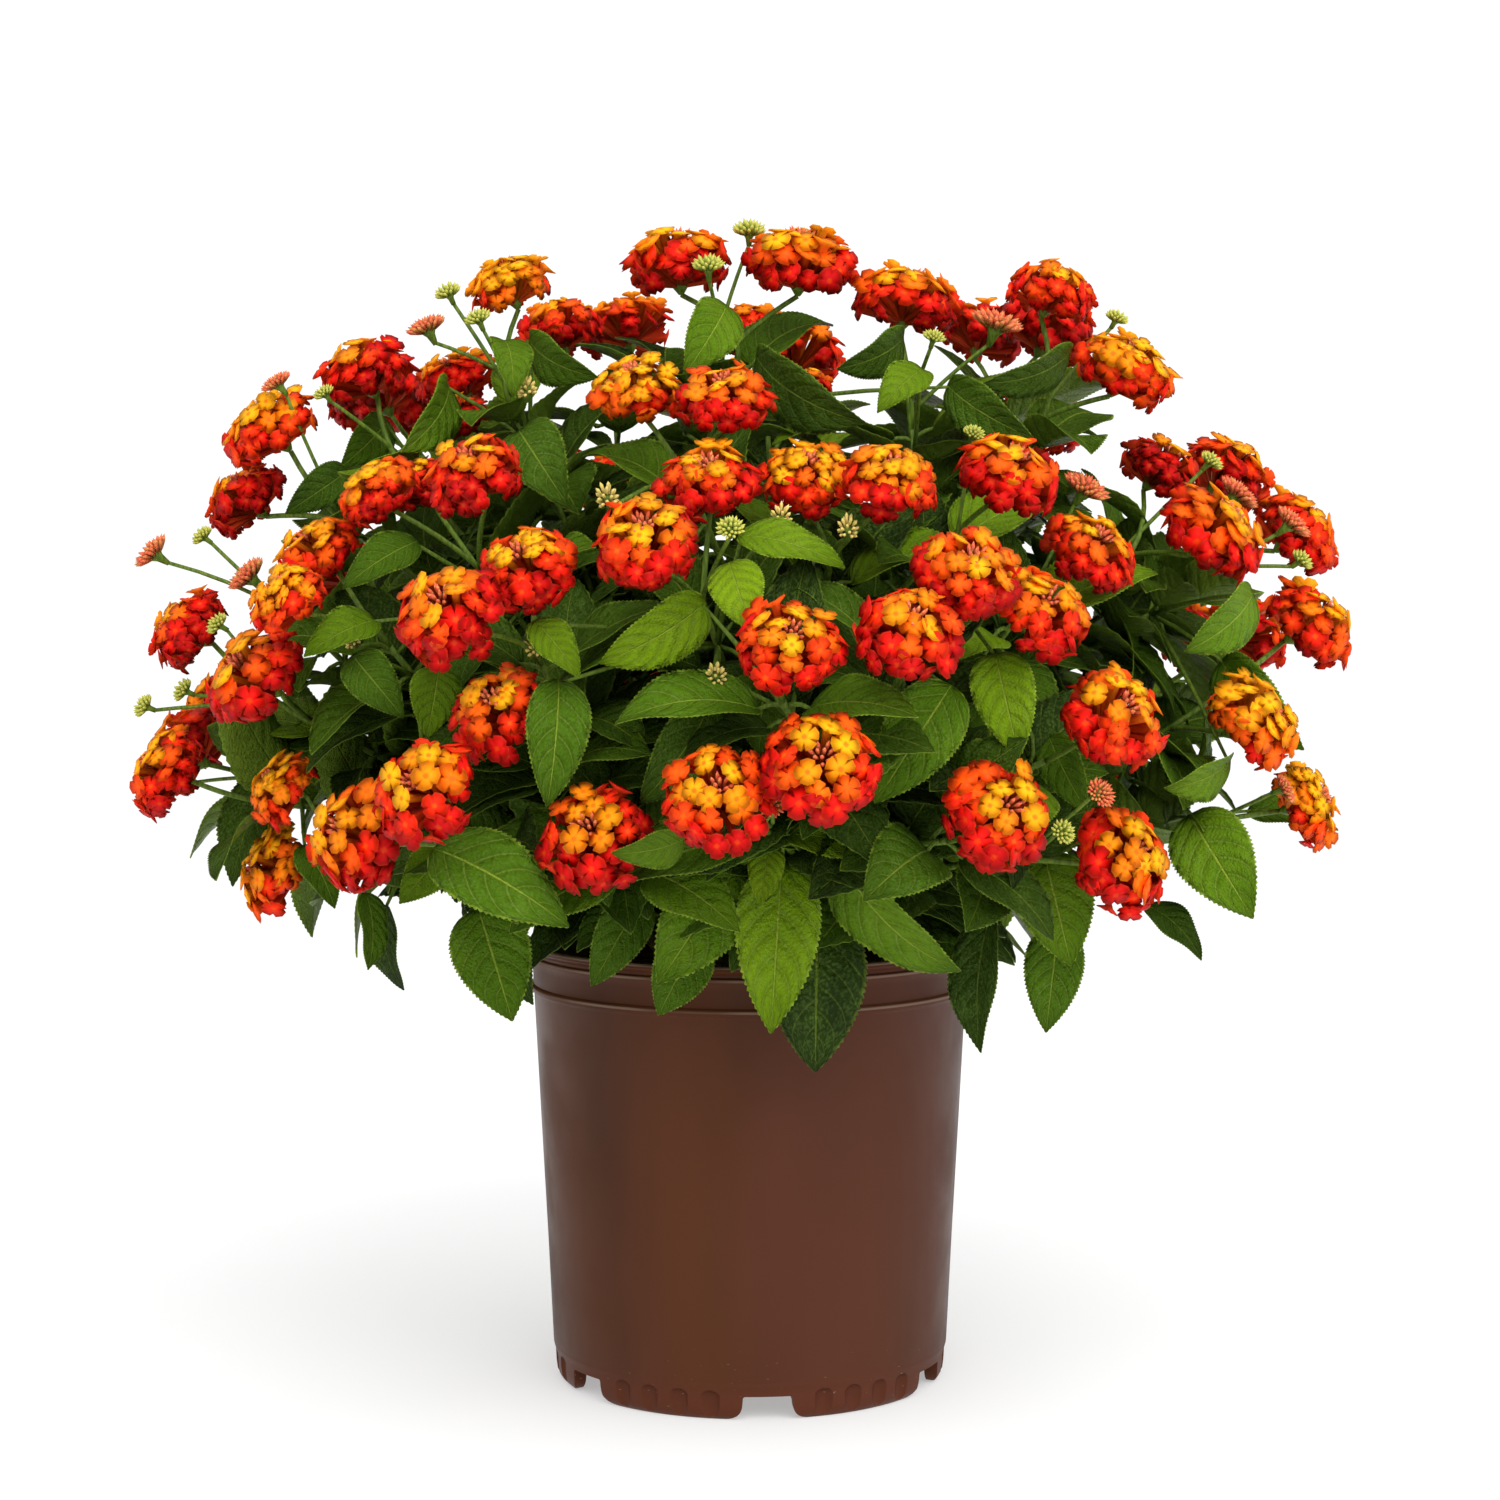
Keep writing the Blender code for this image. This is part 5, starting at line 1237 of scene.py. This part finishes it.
def makePotMaterial():
    material, shader = newMaterial("brownPlastic", 0.4, 0.1)
    place = onObject(shader)
    stretched = stretch(place, (1.0, 1.0, 0.25))
    cloud = noiseOn(stretched, 14.0, 3.0)
    base = blendColour(smooth(cloud, 0.3, 0.7), potColours["wall"], potColours["dark"])
    patches = smooth(noiseOn(stretched, 9.0, 2.0), 0.45, 0.65, 0.0, 0.6)
    base = blendColour(patches, base, potColours["plum"])
    height = addNode(place, "ShaderNodeSeparateXYZ", {0: place}).outputs[2]
    base = blendColour(smooth(height, 0.018, 0.006, 0.0, 0.7), base, potColours["foot"])
    # painted highlight: pale lines along the crests of the rings and the lip, in the scuff colour
    for crest in potSettings["crests"]:
        away = calc("ABSOLUTE", calc("SUBTRACT", height, crest))
        crestHighlight = times(smooth(away, 0.1 * mm, 0.7 * mm, 0.5, 0.0), smooth(cloud, 0.35, 0.6))
        base = blendColour(crestHighlight, base, potColours["scuffAndHighlight"])
    speck = smooth(noiseOn(stretch(place, (420.0, 420.0, 1500.0)), 1.0, 2.0), 0.72, 0.78)
    base = blendColour(times(speck, smooth(height, 0.03, 0.004)), base, potColours["scuffAndHighlight"])
    link(base, shader, "Base Color")
    link(smooth(noiseOn(place, 40.0, 4.0), 0.3, 0.7, 0.36, 0.5), shader, "Roughness")
    grain = calc("MULTIPLY_ADD", noiseOn(place, 1800.0, 2.0), 0.3, noiseOn(stretched, 130.0, 2.0))
    addBump(shader, grain, 0.14, 0.4 * mm)
    return material


def innerRadius(z):
    s = potSettings
    share = (z - s["underside"]) / (s["height"] - s["underside"])
    return s["wallFoot"] - s["wall"] + share * (s["wallTop"] - s["wallFoot"])


def spinProfile(profile, steps):
    bm = newShape()
    verts = [bm.verts.new((r, 0, z)) for r, z in profile]
    edges = [bm.edges.new(pair) for pair in zip(verts, verts[1:])]
    bmesh.ops.spin(
        bm, geom=verts + edges, axis=up, cent=(0, 0, 0), steps=steps, angle=math.tau, use_merge=True
    )
    bmesh.ops.remove_doubles(bm, verts=bm.verts, dist=0.01 * mm)
    bmesh.ops.recalc_face_normals(bm, faces=bm.faces)
    return bm


def potProfile():
    s = potSettings
    z, foot, top, lip, wall = (s[name] for name in ("height", "wallFoot", "wallTop", "lip", "wall"))
    contact, floor = s["contact"], s["underside"] + wall
    below = (
        (0, s["underside"]), (contact - 1.5 * wall, s["underside"]), (contact - 1.5 * wall, 0.3 * mm),
        (contact - 1.3 * wall, 0), (contact - 0.5 * mm, 0), (contact, 0.25 * mm),
    )
    outside = (
        *[(foot + out * mm, high * mm) for out, high in s["footShape"]],
        (foot + (top - foot) * 0.3, 55 * mm), (foot + (top - foot) * 0.65, 100 * mm),
        *[(top + out * mm, z - low * mm) for out, low in s["rimShape"]],
    )
    lipOver = (
        (lip - 0.4 * mm, z - 2.1 * mm), (lip, z - 1.6 * mm), (lip, z - 0.5 * mm), (lip - 0.4 * mm, z),
        (lip - 1.6 * wall, z), (lip - 2 * wall, z - 0.5 * mm),
    )
    inside = (
        (innerRadius(z * 0.9), z - 5 * mm), (innerRadius(s["step"]), s["step"]), (s["inFoot"], s["foot"]),
        (s["inFoot"], floor), (0, floor),
    )
    return (*below, *outside, *lipOver, *inside)


def notchCutter(angle):
    s = potSettings
    bm = bmesh.new()
    bmesh.ops.create_cube(bm, size=1)
    sides = [e for e in bm.edges if abs(e.verts[0].co.z - e.verts[1].co.z) > 0.5]
    bmesh.ops.subdivide_edges(bm, edges=sides, cuts=11, use_grid_fill=True)
    for vert in bm.verts:
        z = s["notchHeight"] - (0.5 - vert.co.z) * (s["notchHeight"] + 1 * mm)
        wide = s["notchTop"] + (s["notchFloor"] - s["notchTop"]) * (1 - z / s["notchHeight"]) ** 1.5
        corner = max(0, s["padCorner"] - max(0, z))
        wide += 2 * (s["padCorner"] - math.sqrt(s["padCorner"] ** 2 - corner**2))
        vert.co.x *= wide
        vert.co.y = -(s["wallFoot"] + 5 * mm) if vert.co.y < 0 else -(s["wallFoot"] - s["notchReach"])
        vert.co.z = z
    top = [e for e in bm.edges if all(v.co.z > s["notchHeight"] - 0.1 * mm for v in e.verts)]
    topSides = [e for e in top if abs(e.verts[0].co.x - e.verts[1].co.x) < mm]
    bmesh.ops.bevel(bm, geom=topSides, offset=0.8 * mm, segments=3, profile=0.5, affect="EDGES", material=-1)
    bm.transform(Matrix.Rotation(math.radians(angle), 4, "Z"))
    return bm


def fluteCutter(angle):
    s = potSettings
    bm = bmesh.new()
    bmesh.ops.create_uvsphere(bm, u_segments=20, v_segments=12, radius=s["fluteRadius"])
    for vert in bm.verts:
        vert.co.z = vert.co.z * 0.7 + (s["fluteHalf"] if vert.co.z > 0.01 * mm else -s["fluteHalf"])
    out = s["wallFoot"] - s["footInset"] + s["fluteRadius"] - s["fluteDepth"]
    bm.transform(Matrix.Translation((0, -out, s["fluteMiddle"])))
    bm.transform(Matrix.Rotation(math.radians(angle), 4, "Z"))
    return bm


def cutAway(piece, cutters):
    holder = bpy.data.collections.new("cutters")
    bpy.context.scene.collection.children.link(holder)
    for n, bm in enumerate(cutters):
        mesh = bpy.data.meshes.new("cutter")
        bm.to_mesh(mesh)
        bm.free()
        holder.objects.link(bpy.data.objects.new(f"cutter{n}", mesh))
    modifier = piece.modifiers.new("cut", "BOOLEAN")
    modifier.operation = "DIFFERENCE"
    modifier.operand_type = "COLLECTION"
    modifier.collection = holder
    modifier.solver = "EXACT"
    bpy.context.view_layer.update()
    mesh = bpy.data.meshes.new_from_object(piece.evaluated_get(bpy.context.evaluated_depsgraph_get()))
    piece.modifiers.remove(modifier)
    piece.data = mesh
    for cutter in list(holder.objects):
        bpy.data.objects.remove(cutter)
    bpy.data.collections.remove(holder)


def makePot():
    bm = spinProfile(potProfile(), potSettings["steps"])
    pot = finishShape(bm, "nurseryPot", (makePotMaterial(),), "pot")
    cutters = []
    for n in range(potSettings["notches"]):
        notch = potSettings["firstNotch"] + n * 360 / potSettings["notches"]
        cutters.append(notchCutter(notch))
        between = notch + 180 / potSettings["notches"]
        cutters += [fluteCutter(between + flute) for flute in potSettings["flutes"]]
    cutAway(pot, cutters)
    pot.data.shade_smooth()
    pot.data.set_sharp_from_angle(angle=math.radians(35))


makePot()
print("pot made")

# potting mix

mixSettings = {
    "low": 8.6 * mm,
    "top": 151 * mm,
    "gap": 0.9 * mm,  # to the pot's wall
    "steps": 72,
    "rings": 12,
    "lump": 2.2 * mm,
    "chips": 240,
    "pearls": 30,
    "chip": {"size": 2.2, "more": 1.3, "wide": 0.5, "thick": 0.3},  # mm, then shares of the size
    "pearl": {"size": 1.3, "more": 0.4, "wide": 0.9, "thick": 0.85},
}
mixColours = {
    "dark": srgb(36, 25, 18),
    "light": srgb(84, 60, 42),
    "bark": srgb(112, 78, 52),
    "pearl": srgb(222, 218, 208),
}


def makeMixMaterial():
    material, shader = newMaterial("pottingMix", 0.92, 0.2)
    place = onObject(shader)
    coarse, fine = noiseOn(place, 220.0, 5.0), noiseOn(place, 900.0, 4.0)
    base = blendColour(smooth(coarse, 0.35, 0.7), mixColours["dark"], mixColours["light"])
    base = blendColour(smooth(fine, 0.55, 0.8, 0.0, 0.6), base, mixColours["bark"])
    link(base, shader, "Base Color")
    addBump(shader, calc("ADD", coarse, fine), 0.9, 1.2 * mm)
    return material


def makeChipMaterial():
    material, shader = newMaterial("barkAndPearl", 0.85, 0.25)
    grain = noiseOn(onObject(shader), 600.0, 4.0)
    bark = blendColour(smooth(grain, 0.3, 0.7), mixColours["light"], mixColours["bark"])
    link(blendColour(attribute(shader, "age"), bark, mixColours["pearl"]), shader, "Base Color")
    addBump(shader, grain, 0.6, 0.5 * mm)
    return material


def mixProfile(rim):
    s = mixSettings
    foot, step = potSettings["inFoot"] - s["gap"], potSettings["step"]
    profile = [(0, s["low"]), (foot, s["low"]), (foot, step - 1.5 * mm)]
    profile += [(innerRadius(step) - s["gap"], step + 1 * mm), (rim, s["top"] - 2 * mm)]
    return profile + [(rim * k / s["rings"], s["top"]) for k in range(s["rings"] - 1, -1, -1)]


def makeMix():
    s = mixSettings
    rim = innerRadius(s["top"]) - s["gap"]
    bm = spinProfile(mixProfile(rim), s["steps"])
    for vert in bm.verts:
        if vert.co.z > s["top"] - 1 * mm:
            vert.co.z += s["lump"] * (noise.noise(vert.co * 60) + 0.6 * noise.noise(vert.co * 190))
    chip = newShape()
    bmesh.ops.create_icosphere(chip, subdivisions=1, radius=1)
    template = keepTemplate(chip, "chip")
    for k in range(s["chips"] + s["pearls"]):
        pearl = k >= s["chips"]
        away, around = (rim - 3 * mm) * math.sqrt(0.5 + 0.5 * draw(k, 21)), math.pi * draw(k, 22)
        place = Vector((away * math.cos(around), away * math.sin(around), s["top"]))
        place.z += s["lump"] * noise.noise(place * 60) + 0.4 * mm
        values = s["pearl" if pearl else "chip"]
        size = (values["size"] + values["more"] * draw(k, 23)) * mm
        turn = Quaternion((draw(k, 24), draw(k, 25), 0.6), math.pi * draw(k, 26)).to_matrix().to_4x4()
        shape = Matrix.Diagonal((size, size * values["wide"], size * values["thick"], 1))
        part = startPart(template, 1, Matrix.Translation(place) @ turn @ shape)
        setValues(part, part.verts, {"age": 1.0 if pearl else 0.0})
        joinPart(bm, part)
    finishShape(bm, "pottingMix", (makeMixMaterial(), makeChipMaterial()), "soil")


makeMix()
print("potting mix made")

# floor, light and camera

studio = {
    "floor": 6.0,
    "floorColour": (0.56, 0.56, 0.56, 1),
    "floorGlow": 0.4,  # keeps the shadows on it soft
    "world": 1.06,
    "key": {"watts": 40, "size": 2.0, "at": (0.35, -1.6, 1.8)},
    "fill": {"watts": 8, "size": 1.6, "at": (1.7, -1.0, 0.9)},
    "aim": (0, 0, 0.22),
    "film": 36,  # mm
}


def makeFloor():
    bm = bmesh.new()
    bmesh.ops.create_grid(bm, x_segments=1, y_segments=1, size=studio["floor"] / 2)
    mesh = bpy.data.meshes.new("floor")
    bm.to_mesh(mesh)
    bm.free()
    material, shader = newMaterial("paleFloor", 1.0, 0.0)
    shader.inputs["Base Color"].default_value = studio["floorColour"]
    shader.inputs["Emission Color"].default_value = (1, 1, 1, 1)
    shader.inputs["Emission Strength"].default_value = studio["floorGlow"]
    mesh.materials.append(material)
    floor = bpy.data.objects.new("floor", mesh)
    bpy.context.scene.collection.objects.link(floor)


def makeLight(name):
    values = studio[name]
    light = bpy.data.lights.new(name, "AREA")
    light.energy, light.size = values["watts"], values["size"]
    lamp = bpy.data.objects.new(name, light)
    lamp.location = values["at"]
    lamp.rotation_euler = (Vector(studio["aim"]) - lamp.location).to_track_quat("-Z", "Y").to_euler()
    bpy.context.scene.collection.objects.link(lamp)


def makeWorld():
    world = bpy.data.worlds.new("studio")
    world.use_nodes = True
    world.node_tree.nodes["Background"].inputs[0].default_value = (1, 1, 1, 1)
    world.node_tree.nodes["Background"].inputs[1].default_value = studio["world"]
    bpy.context.scene.world = world
    world.cycles_visibility.glossy = False
    bpy.context.scene.view_settings.view_transform = "Standard"


def makeCamera():
    camera = bpy.data.cameras.new("camera")
    camera.sensor_width = studio["film"]
    camera.lens = studio["film"] * view["focalPixels"] / view["pictureWidth"]
    holder = bpy.data.objects.new("camera", camera)
    holder.location = view["eye"]
    holder.rotation_euler = (math.pi / 2 - view["pitch"], 0, 0)
    bpy.context.scene.collection.objects.link(holder)
    bpy.context.scene.camera = holder


makeFloor()
makeLight("key")
makeLight("fill")
makeWorld()
makeCamera()
print("studio made")
